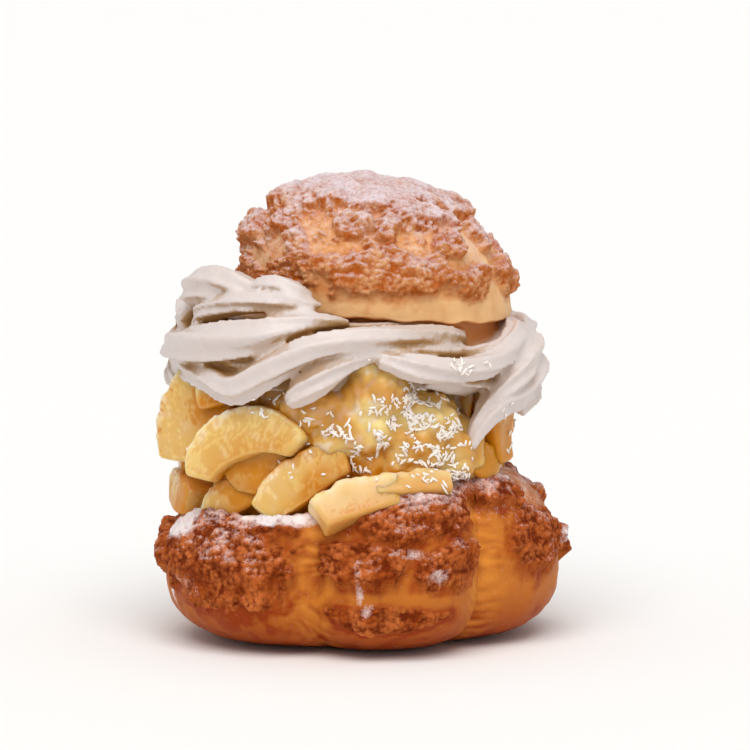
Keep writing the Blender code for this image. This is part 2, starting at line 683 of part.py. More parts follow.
def thin_out(obj, triangles):
    """Brings a skin of four-sided faces down to about this many triangles."""
    fewer = obj.modifiers.new("fewer_faces", "DECIMATE")
    fewer.ratio = triangles / (2.0 * len(obj.data.polygons))
    bake(obj)


def make_cream():
    """The cream: piped ribbons run together round a soft core, as one closed skin."""
    bm = bmesh.new()
    add_drum(bm, CREAM_SEGMENTS, CREAM_CENTRE, (CREAM_BOTTOM, CREAM_REACH), (CREAM_TOP, CREAM_TOP_REACH))
    plug_centre = Vector((CAP_CENTRE.x, CAP_CENTRE.y, 0.0))
    add_drum(bm, PLUG_SEGMENTS, plug_centre, (CREAM_BOTTOM, PLUG_REACH), (PLUG_TOP, PLUG_REACH))
    for ribbon in all_ribbons():
        bm.from_mesh(ribbon_mesh(ribbon))
    bmesh.ops.remove_doubles(bm, verts=bm.verts, dist=WELD)
    obj = mesh_object("whipped_cream", bm)
    run_together(obj, CREAM_VOXEL)
    thin_out(obj, CREAM_TRIANGLES)
    return obj


class Heap(NamedTuple):
    """A rounded heap of crushed fruit: its middle and its half sizes along X, Y and Z, in mm."""

    x: float
    y: float
    z: float
    half_x: float
    half_y: float
    half_z: float


HEAPS = (
    Heap(2.2, -22.6, 47.8, 7.2, 7.2, 7.0),
    Heap(-1.4, -20.8, 40.6, 11.6, 8.6, 8.0),
    Heap(9.0, -18.8, 38.8, 10.0, 8.8, 8.6),
    Heap(14.6, -16.2, 35.4, 8.0, 8.4, 6.8),
    Heap(-8.4, -21.2, 43.8, 8.0, 7.8, 6.8),
    Heap(5.0, -20.4, 33.8, 12.0, 7.6, 5.0),
)


def make_filling():
    """The crushed fruit: a lumpy drum from the dish up into the cream, with heaps at the front."""
    bm = bmesh.new()
    bottom = (DISH_FLOOR, FILLING_REACH)
    top = (FILLING_TOP, FILLING_REACH)
    add_drum(bm, FILLING_SEGMENTS, FILLING_CENTRE, bottom, top)
    for heap in HEAPS:
        sizes = Matrix.Diagonal((heap.half_x * MM, heap.half_y * MM, heap.half_z * MM, 1.0))
        place = Matrix.Translation(Vector((heap.x, heap.y, heap.z)) * MM) @ sizes
        bmesh.ops.create_icosphere(bm, subdivisions=3, radius=1.0, matrix=place)
    obj = mesh_object("crushed_pineapple", bm)
    run_together(obj, FILLING_VOXEL)
    for vertex in obj.data.vertices:
        outward = Vector((vertex.co.x, vertex.co.y, 0.0)).normalized()
        vertex.co += outward * FILLING_LUMP * noise.noise(vertex.co / FILLING_LUMP_SIZE)
    thin_out(obj, FILLING_TRIANGLES)
    return obj


def keep_largest(obj):
    """Drops loose scraps and shells sealed inside, leaving the one body with the most faces."""
    bm = bmesh.new()
    bm.from_mesh(obj.data)
    left = set(bm.faces)
    bodies = []
    while left:
        front = [left.pop()]
        body = list(front)
        while front:
            for edge in front.pop().edges:
                for face in edge.link_faces:
                    if face in left and len(edge.link_faces) == 2:
                        left.discard(face)
                        front.append(face)
                        body.append(face)
        bodies.append(body)
    bodies.sort(key=len)
    for body in bodies[:-1]:
        bmesh.ops.delete(bm, geom=body, context="FACES")
    bm.to_mesh(obj.data)
    bm.free()


def swollen(obj, gap=CUTTER_GAP):
    """A copy of a piece with its skin moved out by the gap, to cut room for it out of a neighbour."""
    bm = bmesh.new()
    bm.from_mesh(obj.data)
    bm.normal_update()
    moves = [vertex.normal * gap * min(vertex.calc_shell_factor(), 1.8) for vertex in bm.verts]
    for vertex, move in zip(bm.verts, moves):
        vertex.co += move
    return mesh_object(obj.name + "_cutter", bm)


def box_of(obj):
    corners = [vertex.co for vertex in obj.data.vertices]
    low = Vector(min(corner[axis] for corner in corners) for axis in range(3))
    high = Vector(max(corner[axis] for corner in corners) for axis in range(3))
    return low, high


def boxes_meet(one, other):
    (low_a, high_a), (low_b, high_b) = one, other
    return all(low_a[axis] < high_b[axis] and low_b[axis] < high_a[axis] for axis in range(3))


def tidy(obj, flatten_deg=0.0):
    """Triangles only, with slivers from the cuts run together, and near-flat faces joined.

    Where that would open the skin, less of it is done.
    """
    for weld, flatten in ((WELD, flatten_deg), (WELD, 0.0), (0.0, 0.0)):
        bm = bmesh.new()
        bm.from_mesh(obj.data)
        if weld > 0.0:
            bmesh.ops.remove_doubles(bm, verts=bm.verts, dist=weld)
            bmesh.ops.dissolve_degenerate(bm, edges=bm.edges, dist=weld)
        if flatten > 0.0:
            limit = math.radians(flatten)
            bmesh.ops.dissolve_limit(bm, angle_limit=limit, verts=bm.verts, edges=bm.edges)
        bmesh.ops.triangulate(bm, faces=bm.faces)
        closed = all(len(edge.link_faces) == 2 for edge in bm.edges)
        if closed:
            bm.to_mesh(obj.data)
        bm.free()
        if closed:
            return


def volume_of(obj):
    bm = bmesh.new()
    bm.from_mesh(obj.data)
    volume = bm.calc_volume(signed=True)
    bm.free()
    return volume


def cut(obj, cutters, flatten_deg=0.0):
    """Takes the cutters that reach a piece out of it, one after another.

    The exact solver sometimes loses a body, which shows as more volume gone than the cutter holds.
    The manifold solver then makes that cut.
    """
    for cutter in cutters:
        if not boxes_meet(box_of(obj), box_of(cutter)):
            continue
        whole = obj.data.copy()
        least = max(0.99 * (volume_of(obj) - volume_of(cutter)), LEAST_LEFT * volume_of(obj))
        for solver in ("EXACT", "MANIFOLD"):
            obj.data = whole
            boolean = obj.modifiers.new("cut", "BOOLEAN")
            boolean.operation = "DIFFERENCE"
            boolean.solver = solver
            boolean.object = cutter
            bake(obj)
            if volume_of(obj) > least:
                break
        tidy(obj)
    tidy(obj, flatten_deg)
    keep_largest(obj)


def make_shred(length, width):
    """A shred of coconut: a thin four-sided stick, lying along X, with narrow ends."""
    bm = bmesh.new()
    bmesh.ops.create_cube(bm, size=1.0)
    bmesh.ops.scale(bm, verts=bm.verts, vec=(length, width, width * 0.9))
    middle = [edge for edge in bm.edges if abs(edge.verts[0].co.x - edge.verts[1].co.x) > length / 2.0]
    bmesh.ops.subdivide_edges(bm, edges=middle, cuts=1, use_grid_fill=True)
    for vertex in bm.verts:
        if abs(vertex.co.x) > length / 4.0:
            vertex.co.yz *= 0.55
    return mesh_object("shred", bm)


def shred_spots(rng):
    """Where shreds fall: most over the heaps at the front, some on the rest of the fruit."""
    for i in range(SHRED_COUNT):
        if i % 4 < 2:
            yield rng.gauss(284.0, 12.0), rng.gauss(40.0, 4.0) * MM
        elif i % 4 == 2:
            yield rng.uniform(205.0, 330.0), rng.uniform(30.0, 44.0) * MM
        else:
            yield rng.uniform(-20.0, 190.0), rng.uniform(30.0, 44.0) * MM


def add_coconut(hosts, bare):
    """Lays shreds on the fruit and joins each to the piece beneath it, clear of every other piece.

    A thicker, longer copy of each shred stands for the room round it, and nothing else may reach into that.
    """
    rng = random.Random(SEED)
    trees = {obj: tree_of(obj) for obj in hosts + bare}
    laid = {}
    rooms = []
    for azimuth, height in shred_spots(rng):
        outward = direction(azimuth)
        start = outward * WELL_OUTSIDE + Vector((0.0, 0.0, height))
        twist = rng.uniform(0.0, math.pi)
        hits = [(tree.ray_cast(start, -outward), obj) for obj, tree in trees.items()]
        hits = [(hit, obj) for hit, obj in hits if hit[0] is not None]
        if not hits:
            continue
        (place, normal, _, _), host = min(hits, key=lambda item: item[0][3])
        if host not in hosts or normal.dot(outward) < STEEPEST_SHRED:
            continue
        turned = normal.to_track_quat("Z", "Y").to_matrix().to_4x4() @ Matrix.Rotation(twist, 4, "Z")
        length = SHRED_LENGTH * rng.uniform(0.8, 1.2)
        lie = Matrix.Translation(place + normal * SHRED_SUNK) @ turned
        room = make_shred(length + 2.0 * SHRED_CLEARANCE, 2.2 * SHRED_WIDTH)
        room.data.transform(lie)
        room_tree = tree_of(room)
        remove(room)
        blocked = any(room_tree.overlap(tree) for obj, tree in trees.items() if obj is not host)
        blocked = blocked or any(room_tree.overlap(tree) for tree in rooms)
        if blocked:
            continue
        rooms.append(room_tree)
        shred = make_shred(length, SHRED_WIDTH)
        shred.data.transform(lie)
        laid.setdefault(host, []).append(shred)
    for host, shreds in laid.items():
        fuse(host, shreds)


def tree_of(obj):
    bm = bmesh.new()
    bm.from_mesh(obj.data)
    tree = BVHTree.FromBMesh(bm)
    bm.free()
    return tree


def fuse(host, bits):
    """Joins bits to their host by one Boolean union on a collection, then drops the bits."""
    group = bpy.data.collections.new("bits")
    for bit in bits:
        group.objects.link(bit)
    boolean = host.modifiers.new("fuse", "BOOLEAN")
    boolean.operation = "UNION"
    boolean.solver = "EXACT"
    boolean.operand_type = "COLLECTION"
    boolean.collection = group
    bake(host)
    for bit in bits:
        remove(bit)
    bpy.data.collections.remove(group)
    tidy(host)
    keep_largest(host)


def finish(obj, colour, roughness, subsurface=0.0):
    """Gives a piece its own material, and smooth shading between its sharp edges."""
    material = bpy.data.materials.new(obj.name)
    material.use_nodes = True
    shader = material.node_tree.nodes["Principled BSDF"]
    shader.inputs["Base Color"].default_value = (*colour, 1.0)
    shader.inputs["Roughness"].default_value = roughness
    shader.inputs["Metallic"].default_value = 0.0
    shader.inputs["Subsurface Weight"].default_value = subsurface
    obj.data.materials.clear()
    obj.data.materials.append(material)
    obj.data.shade_smooth()
    obj.data.set_sharp_from_angle(angle=math.radians(40.0))


def main():
    for obj in list(bpy.data.objects):
        remove(obj)
    base = make_base()
    cap = make_cap()
    chunks = [make_chunk(f"pineapple_{i + 1:02d}", chunk) for i, chunk in enumerate(all_chunks())]
    cream = make_cream()
    filling = make_filling()

    cutters = [swollen(base), swollen(cap)]
    cut(filling, cutters, flatten_deg=FLATTEN_DEG)
    cutters.append(swollen(filling, FILLING_GAP))
    for chunk in chunks:
        room = swollen(chunk)
        cut(chunk, cutters, flatten_deg=FLATTEN_DEG)
        cutters.append(room)
    cut(cream, cutters, flatten_deg=CREAM_FLATTEN_DEG)
    for cutter in cutters:
        remove(cutter)
    add_coconut(chunks + [filling], [base, cap, cream])

    finish(base, (0.50, 0.20, 0.06), 0.75)
    finish(cap, (0.66, 0.36, 0.14), 0.75)
    finish(cream, (0.86, 0.82, 0.78), 0.45, subsurface=0.2)
    finish(filling, (0.70, 0.44, 0.08), 0.4, subsurface=0.2)
    for chunk in chunks:
        finish(chunk, (0.86, 0.62, 0.20), 0.35, subsurface=0.3)


main()
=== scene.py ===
"""A fruit cream puff in a plain studio: baked choux, piped cream, pineapple and coconut.

Shapes are worked out in millimetres, +Z up and -Y to the front, and put into metres when a piece is made.
Azimuths are degrees counter-clockwise from +X seen from above, so that the front is at 270.
"""

import math
import random
from collections import namedtuple

import bmesh
import bpy
from mathutils import Matrix, Vector, noise
from mathutils.bvhtree import BVHTree


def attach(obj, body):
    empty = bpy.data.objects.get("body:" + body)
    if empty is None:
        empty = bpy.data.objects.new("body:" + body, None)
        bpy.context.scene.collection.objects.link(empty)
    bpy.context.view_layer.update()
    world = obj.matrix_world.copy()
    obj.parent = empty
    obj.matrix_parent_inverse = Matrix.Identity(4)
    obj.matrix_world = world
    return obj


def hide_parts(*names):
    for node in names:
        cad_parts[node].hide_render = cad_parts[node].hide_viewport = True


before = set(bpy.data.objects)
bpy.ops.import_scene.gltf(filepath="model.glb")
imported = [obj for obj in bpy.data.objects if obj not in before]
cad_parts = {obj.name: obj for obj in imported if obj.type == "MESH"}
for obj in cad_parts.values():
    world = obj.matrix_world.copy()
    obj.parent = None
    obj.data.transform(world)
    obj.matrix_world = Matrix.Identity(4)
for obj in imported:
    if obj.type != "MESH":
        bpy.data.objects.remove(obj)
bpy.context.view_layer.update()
MM = 0.001


# Lower half of the bun: choux paste baked with a disc of biscuit dough on it, then split.
# The paste swells into five lobes and pulls the biscuit crust apart into rough brown plates.
# The dough between the plates and at the foot stays smooth and golden.

BELLY_HEIGHT = 15.0
FOOT_SHARE = 0.47
FOOT_SQUARENESS = 0.5
SHOULDER_SLOPE = 1.1
SHOULDER_RISE = 1.15
LOBE_ROUNDNESS = 0.7
CREASE_AT_FOOT = 7.0
CREASE_AT_RIM = 3.6
CREASE_WIDTH = 0.16
DISH_FLOOR = 16.0
DISH_EDGE_DROP = 2.0
RIM_WALL = 3.5
TWIST_DEG = 7.0
TWIST_FROM = 0.35
BASE_SEGMENTS = 600
BASE_RINGS = 152
# The wall's share of the skin, from the middle of the foot at 0 to the middle of the dish at 1
WALL_FROM, WALL_TO = 0.04, 0.93

Lobe = namedtuple("Lobe", "start_deg reach rim_height rim_reach")
LOBES = (
    Lobe(-49.0, 35.8, 30.5, 23.0),
    Lobe(35.0, 36.4, 28.0, 27.0),
    Lobe(95.0, 37.0, 21.5, 31.0),
    Lobe(170.0, 37.7, 23.5, 33.0),
    Lobe(256.0, 36.4, 29.0, 29.5),
)

# A plate lies at an azimuth and a share of the way along the wall, with its half sizes and its lift
Patch = namedtuple("Patch", "azimuth_deg along half_width half_height lift turn_deg", defaults=(0.0,))
BASE_PATCHES = (
    Patch(223.0, 0.63, 16.5, 8.6, 1.4, -5.0),
    Patch(232.0, 0.90, 10.0, 3.2, 1.5, -3.0),
    Patch(186.0, 0.60, 6.0, 5.5, 1.6),
    Patch(287.0, 0.84, 13.0, 6.2, 1.7, 14.0),
    Patch(271.0, 0.59, 8.5, 4.2, 1.7, -6.0),
    Patch(298.0, 0.55, 8.5, 4.4, 1.5, 12.0),
    Patch(277.0, 0.42, 10.5, 2.6, 0.7),
    Patch(318.0, 0.88, 8.5, 4.5, 2.0, -12.0),
    Patch(338.0, 0.60, 8.5, 6.0, 1.3),
    Patch(1.0, 0.55, 6.5, 2.9, 2.1, -10.0),
    Patch(22.0, 0.84, 9.5, 6.0, 1.7, 10.0),
    Patch(60.0, 0.70, 11.5, 7.5, 1.6, -8.0),
    Patch(84.0, 0.58, 6.0, 5.0, 1.5),
    Patch(116.0, 0.74, 12.0, 7.5, 1.7, 6.0),
    Patch(148.0, 0.64, 10.0, 7.0, 1.6, -10.0),
)


def clamp(value, low=0.0, high=1.0):
    return max(low, min(high, value))


def smoothstep(low, high, value):
    t = clamp((value - low) / (high - low))
    return t * t * (3.0 - 2.0 * t)


def mix(a, b, share):
    return a * (1.0 - share) + b * share


def direction(azimuth_deg):
    angle = math.radians(azimuth_deg)
    return Vector((math.cos(angle), math.sin(angle), 0.0))


def lobe_at(azimuth_deg):
    """The lobe that holds this azimuth, and how far across it the azimuth is, from 0 to 1."""
    first = LOBES[0].start_deg
    turned = (azimuth_deg - first) % 360.0 + first
    ends = [lobe.start_deg for lobe in LOBES[1:]] + [first + 360.0]
    for index, (lobe, end) in enumerate(zip(LOBES, ends)):
        if turned < end or index == len(LOBES) - 1:
            return index, min((turned - lobe.start_deg) / (end - lobe.start_deg), 1.0)


def between_lobes(index, across):
    """Reach, rim height and rim reach, carried smoothly from the middle of each lobe to the next."""
    lobe = LOBES[index]
    other = LOBES[(index + (1 if across > 0.5 else -1)) % len(LOBES)]
    share = 0.5 * smoothstep(0.0, 1.0, abs(across - 0.5) * 2.0)
    return [mix(a, b, share) for a, b in zip(lobe[1:], other[1:])]


def base_wall(azimuth_deg, up):
    """A point of the lower half's outside. up is 0 at the foot, 0.5 at the belly and 1 at the rim."""
    index, across = lobe_at(azimuth_deg - TWIST_DEG * (up - TWIST_FROM))
    bulge = abs(math.sin(math.pi * across)) ** LOBE_ROUNDNESS
    whole_reach, rim_height, rim_reach = between_lobes(index, across)
    reach = whole_reach - mix(CREASE_AT_FOOT, CREASE_AT_RIM, up) * (1.0 - bulge)
    if up < 0.5:
        angle = (1.0 - up / 0.5) * math.pi / 2.0
        radius = mix(reach * FOOT_SHARE, reach, math.cos(angle))
        height = BELLY_HEIGHT * (1.0 - math.sin(angle) ** FOOT_SQUARENESS)
    else:
        angle = (up - 0.5) / 0.5 * math.pi / 2.0
        rim = rim_reach - CREASE_AT_RIM * (1.0 - bulge)
        radius = mix(rim, reach, max(math.cos(angle), 0.0) ** SHOULDER_SLOPE)
        height = mix(BELLY_HEIGHT, rim_height, math.sin(angle) ** SHOULDER_RISE)
    return direction(azimuth_deg) * radius + Vector((0.0, 0.0, height))


def base_surface(azimuth_deg, t):
    """The whole skin of the lower half, from the middle of its foot at 0 to the middle of its dish at 1."""
    if t < WALL_FROM:
        edge = base_wall(azimuth_deg, 0.0)
        return Vector((edge.x, edge.y, 0.0)) * (t / WALL_FROM)
    if t < WALL_TO:
        return base_wall(azimuth_deg, (t - WALL_FROM) / (WALL_TO - WALL_FROM))
    inward = (t - WALL_TO) / (1.0 - WALL_TO)
    rim = base_wall(azimuth_deg, 1.0)
    outer = math.hypot(rim.x, rim.y) - RIM_WALL
    height = mix(DISH_FLOOR, rim.z - DISH_EDGE_DROP, (1.0 - inward) ** 2)
    return direction(azimuth_deg) * outer * (1.0 - inward) + Vector((0.0, 0.0, height))


def patch_frame(surface, patch):
    """(middle, tangent across, tangent up, outward) of a plate on a surface function."""
    along = max(patch.along, 0.02)
    across = surface(patch.azimuth_deg + 1.0, along) - surface(patch.azimuth_deg - 1.0, along)
    across.normalize()
    low = surface(patch.azimuth_deg, clamp(patch.along - 0.03))
    high = surface(patch.azimuth_deg, clamp(patch.along + 0.03))
    outward = across.cross(high - low).normalized()
    upward = outward.cross(across).normalized()
    spin = Matrix.Rotation(math.radians(patch.turn_deg), 3, outward)
    return surface(patch.azimuth_deg, patch.along), spin @ across, spin @ upward, outward


# The noise that bends the crumbs and wrinkles starts from a seed, so that each run gives the same ones
CRUMB_SEED = 5
noise.seed_set(CRUMB_SEED)


def unevenness(point, scales):
    """Smooth unevenness at a point, as the sum of several sizes, each with its amount."""
    return sum(amount * noise.noise(point / size) for size, amount in scales)


def crumbs(point, size):
    """1 on the rounded tops of crumbs of about this size, falling to 0 in the cracks between them."""
    warped = point / size + 0.35 * noise.noise_vector(point / (2.2 * size))
    nearest = noise.voronoi(warped)[0][0]
    return 1.0 - min(nearest / 0.75, 1.0) ** 2


# A plate's rags along its edge, and where its thickness and its cover end, as shares of its half sizes
PLATE_RAGS = ((6.0, 0.32), (2.4, 0.26), (0.9, 0.12))
PLATE_EDGE = (0.80, 1.04)
COVER_EDGE = (0.88, 1.08)
# Painted shade at the foot of a plate's edge: where it is darkest and how far it reaches, as shares of the
# half sizes
EDGE_SHADE_MIDDLE, EDGE_SHADE_WIDTH = 1.05, 0.25
# How far apart the crags, ledges, swellings and wrinkles of a crust are, and how high they stand
CRAG_SIZE, CRAG_RISE = 4.2, 0.8
LEDGE_WIDTH, LEDGE_HEIGHT, LEDGE_RISE = 6.0, 4.2, 0.55
SWELL_SIZE, SWELL_RISE = 11.0, 0.5
WRINKLE_SIZE, WRINKLE_RISE = 2.8, 0.22
FLAKE_WIDTH, FLAKE_HEIGHT = 3.2, 1.5
CRUMB_RISE = 0.75


def crust_at(point, patches, frames):
    """The crust at a point of the bun's skin: lift, fine relief, cover, crumb height and painted edge shade.

    Cover is 1 on a plate and 0 on bare dough. The painted edge shade is 1 in the dough at the foot of a
    plate's edge, where shade falls.
    """
    ragged = unevenness(point, PLATE_RAGS)
    best = cover = painted_edge_shade = 0.0
    for patch, (middle, across, upward, outward) in zip(patches, frames):
        offset = point - middle
        a = offset.dot(across) / patch.half_width
        b = offset.dot(upward) / patch.half_height
        c = offset.dot(outward) / (2.2 * patch.half_width)
        apart = math.sqrt(a * a + b * b + c * c) + ragged
        best = max(best, patch.lift * (1.0 - smoothstep(*PLATE_EDGE, apart)))
        cover = max(cover, 1.0 - smoothstep(*COVER_EDGE, apart))
        painted_edge_shade = max(painted_edge_shade, 1.0 - abs(apart - EDGE_SHADE_MIDDLE) / EDGE_SHADE_WIDTH)
    layered = Vector((point.x / LEDGE_WIDTH, point.y / LEDGE_WIDTH, point.z / LEDGE_HEIGHT))
    layer = 1.9 * noise.noise(layered) + 0.4
    ledge = math.floor(layer) + smoothstep(0.60, 0.95, layer - math.floor(layer))
    crag = CRAG_RISE * noise.noise(point / CRAG_SIZE) + LEDGE_RISE * (ledge - 0.2)
    swell = SWELL_RISE * noise.noise(point / SWELL_SIZE + Vector((3.0, 0.0, 0.0)))
    swell += WRINKLE_RISE * noise.noise(point / WRINKLE_SIZE) * (1.0 - cover)
    flakes = noise.noise(Vector((point.x / FLAKE_WIDTH, point.y / FLAKE_WIDTH, point.z / FLAKE_HEIGHT)))
    height = 0.22 * crumbs(point, 2.0) + 0.54 * crumbs(point + Vector((9.0, 0.0, 0.0)), 1.0) + 0.12
    height += 0.25 * flakes
    fine = CRUMB_RISE * (height - 0.60) * cover
    return best + crag * smoothstep(0.0, 1.0, best) + swell, fine, cover, height, painted_edge_shade


def closed_skin(segments, rings, surface):
    """A closed skin: a grid wrapped round a surface of azimuth and the share of the way from foot to top."""
    bm = bmesh.new()
    bmesh.ops.create_grid(bm, x_segments=segments, y_segments=rings, size=1.0)
    for vertex in bm.verts:
        azimuth = 180.0 * (vertex.co.x + 1.0)
        vertex.co = surface(azimuth, (vertex.co.y + 1.0) / 2.0)
    bmesh.ops.remove_doubles(bm, verts=bm.verts, dist=0.001)
    bmesh.ops.recalc_face_normals(bm, faces=bm.faces)
    bm.normal_update()
    return bm


def settle(name, bm, matrix=Matrix.Identity(4)):
    """Makes the piece's object from its mesh in millimetres, with its place in the mesh, in metres."""
    bm.transform(Matrix.Scale(MM, 4) @ matrix)
    mesh = bpy.data.meshes.new(name)
    bm.to_mesh(mesh)
    bm.free()
    piece = bpy.data.objects.new(name, mesh)
    bpy.context.scene.collection.objects.link(piece)
    mesh.shade_smooth()
    return piece


def linear(hex_colour):
    """An sRGB colour as the linear one that the shader takes."""
    parts = [int(hex_colour[i:i + 2], 16) / 255.0 for i in (1, 3, 5)]
    return [c / 12.92 if c <= 0.04045 else ((c + 0.055) / 1.055) ** 2.4 for c in parts] + [1.0]


def add_node(tree, kind, settings=(), values=(), links=()):
    """Adds a node, with its settings, the values of its sockets, and links from other nodes' sockets."""
    node = tree.nodes.new(kind)
    for name, value in dict(settings).items():
        setattr(node, name, value)
    for name, value in dict(values).items():
        node.inputs[name].default_value = value
    for name, source in dict(links).items():
        tree.links.new(source, node.inputs[name])
    return node


def new_material(name, values):
    """A new material with these values on its shader's own sockets, its node tree and its shader."""
    material = bpy.data.materials.new(name)
    material.use_nodes = True
    shader = material.node_tree.nodes["Principled BSDF"]
    for socket, value in values.items():
        shader.inputs[socket].default_value = value
    return material, material.node_tree, shader


# A Mix node of colours has its factor, its two colours and its result in these places
FACTOR, COLOUR_A, COLOUR_B, MIXED = 0, 6, 7, 2
COLOURS = {"data_type": "RGBA"}

# What each point of the bun's skin keeps for its material
SKIN_VALUES = ("plate", "crumb", "browning_and_shade", "sugar")


def baked_choux(name, dough, dough_brown, crack_shade, plate_top, plate_brown, sugar_colour):
    """Baked choux under a biscuit crust: smooth satin dough, rough plates, and a dust of icing sugar.

    The plates, crumbs, browning with its painted shade, and sugar are kept on the piece's points. The cracks
    between crumbs and granules take a dark painted shade. The crust's granules are 0.75 mm across, and the
    sugar's speckle
    0.45 mm, which is coarser than real sugar dust so that it shows.
    """
    material, tree, shader = new_material(name, {
        "Specular IOR Level": 0.12, "Subsurface Weight": 0.12, "Subsurface Radius": (1.0, 0.45, 0.2),
        "Subsurface Scale": 1.5 * MM,
    })
    place = add_node(tree, "ShaderNodeTexCoord").outputs["Object"]
    plate, crumb, browning_and_shade, sugar = (
        add_node(tree, "ShaderNodeAttribute", {"attribute_name": value}).outputs["Fac"]
        for value in SKIN_VALUES
    )
    grain = add_node(
        tree, "ShaderNodeTexNoise", values={"Scale": 1.0 / (0.45 * MM), "Detail": 4.0, "Roughness": 0.65},
        links={"Vector": place},
    ).outputs["Fac"]
    granule = add_node(
        tree, "ShaderNodeTexVoronoi", values={"Scale": 1.0 / (0.75 * MM)}, links={"Vector": place},
    ).outputs["Distance"]
    cloud = add_node(
        tree, "ShaderNodeTexNoise", values={"Scale": 1.0 / (4.0 * MM), "Detail": 3.0},
        links={"Vector": place},
    ).outputs["Fac"]
    brown_share = add_node(
        tree, "ShaderNodeMath", {"operation": "MULTIPLY_ADD", "use_clamp": True},
        {1: 1.1, 2: -0.55}, {0: cloud},
    ).outputs[0]
    # The dough's colour: its browning, darker with painted shade where the points carry it
    dough_share = add_node(
        tree, "ShaderNodeMath", {"operation": "ADD", "use_clamp": True}, links={0: browning_and_shade, 1: brown_share},
    ).outputs[0]
    dough_colour = add_node(
        tree, "ShaderNodeMix", COLOURS, {COLOUR_A: linear(dough), COLOUR_B: linear(dough_brown)},
        {FACTOR: dough_share},
    ).outputs[MIXED]
    plate_share = add_node(
        tree, "ShaderNodeMapRange", {"clamp": True},
        {"From Min": 0.36, "From Max": 0.64}, {"Value": cloud},
    ).outputs[0]
    plate_colour = add_node(
        tree, "ShaderNodeMix", COLOURS, {COLOUR_A: linear(plate_top), COLOUR_B: linear(plate_brown)},
        {FACTOR: plate_share},
    ).outputs[MIXED]
    # Painted shade: the low cracks between crumbs and granules take the dark crack colour
    grainy = add_node(
        tree, "ShaderNodeMath", {"operation": "MULTIPLY_ADD"}, {1: -0.5}, {0: granule, 2: crumb},
    ).outputs[0]
    crumb_share = add_node(
        tree, "ShaderNodeMapRange", {"clamp": True},
        {"From Min": -0.1, "From Max": 0.5}, {"Value": grainy},
    ).outputs[0]
    crust_colour = add_node(
        tree, "ShaderNodeMix", COLOURS, {COLOUR_A: linear(crack_shade)},
        {FACTOR: crumb_share, COLOUR_B: plate_colour},
    ).outputs[MIXED]
    skin_colour = add_node(
        tree, "ShaderNodeMix", COLOURS,
        links={FACTOR: plate, COLOUR_A: dough_colour, COLOUR_B: crust_colour},
    ).outputs[MIXED]
    speckle = add_node(
        tree, "ShaderNodeMath", {"operation": "MULTIPLY_ADD"}, {1: 1.3, 2: -0.65}, {0: grain},
    ).outputs[0]
    dusted = add_node(
        tree, "ShaderNodeMath", {"operation": "ADD"}, links={0: sugar, 1: speckle},
    ).outputs[0]
    sugar_share = add_node(
        tree, "ShaderNodeMapRange", {"clamp": True},
        {"From Min": 0.15, "From Max": 1.0, "To Max": 0.95}, {"Value": dusted},
    ).outputs[0]
    colour = add_node(
        tree, "ShaderNodeMix", COLOURS, {COLOUR_B: linear(sugar_colour)},
        {FACTOR: sugar_share, COLOUR_A: skin_colour},
    ).outputs[MIXED]
    tree.links.new(colour, shader.inputs["Base Color"])
    roughness = add_node(
        tree, "ShaderNodeMapRange", values={"To Min": 0.5, "To Max": 0.8}, links={"Value": plate},
    ).outputs[0]
    tree.links.new(roughness, shader.inputs["Roughness"])
    depth = add_node(
        tree, "ShaderNodeMapRange", values={"To Min": 0.12, "To Max": 1.0}, links={"Value": plate},
    ).outputs[0]
    rough_height = add_node(
        tree, "ShaderNodeMath", {"operation": "MULTIPLY_ADD"}, {1: -1.2}, {0: granule, 2: grain},
    ).outputs[0]
    bump = add_node(
        tree, "ShaderNodeBump", values={"Distance": 0.28 * MM},
        links={"Strength": depth, "Height": rough_height},
    ).outputs[0]
    tree.links.new(bump, shader.inputs["Normal"])
    return material


def dress(piece, material, node, values):
    """Puts a piece in the place of a node, with its material and the values that each point keeps for it."""
    for name, numbers in values.items():
        piece.data.attributes.new(name, "FLOAT", "POINT").data.foreach_set("value", numbers)
    piece.data.materials.append(material)
    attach(piece, "root")
    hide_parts(node)


# Where icing sugar lies on the lower half: the azimuth and height of its middle, half its turn and its
# height, and how thick it lies
BASE_SUGAR = (
    (204.0, 21.6, 15.0, 3.0, 1.5),
    (241.0, 24.9, 18.0, 1.9, 1.5),
    (226.0, 20.0, 17.0, 4.0, 0.32),
    (218.0, 13.0, 12.0, 5.0, 0.25),
    (269.5, 14.0, 1.4, 5.6, 0.7),
    (271.5, 9.5, 2.6, 1.6, 0.55),
    (203.5, 9.5, 1.6, 3.6, 0.8),
    (292.0, 15.5, 6.0, 1.5, 0.55),
    (283.0, 19.5, 7.0, 1.2, 0.5),
    (352.0, 18.0, 5.0, 1.6, 0.8),
    (120.0, 24.0, 24.0, 2.6, 1.1),
    (60.0, 27.0, 16.0, 2.2, 1.0),
)


def move_points(bm, moves):
    for vertex, move in zip(bm.verts, moves):
        vertex.co += move
    bm.normal_update()


def settle_sugar(bm, values, thick):
    """Lays sugar on the upward sides of a crust's crags and takes it from beneath them."""
    for index, vertex in enumerate(bm.verts):
        upward = smoothstep(-0.1, 0.8, vertex.normal.z) - 0.45
        values["sugar"][index] += thick * upward * values["plate"][index]


def base_dust(azimuth_deg, height):
    most = 0.0
    for middle, level, half_turn, half_height, thick in BASE_SUGAR:
        turned = (azimuth_deg - middle + 180.0) % 360.0 - 180.0
        apart = math.hypot(turned / half_turn, (height - level) / half_height)
        most = max(most, thick * (1.0 - apart ** 2))
    return most


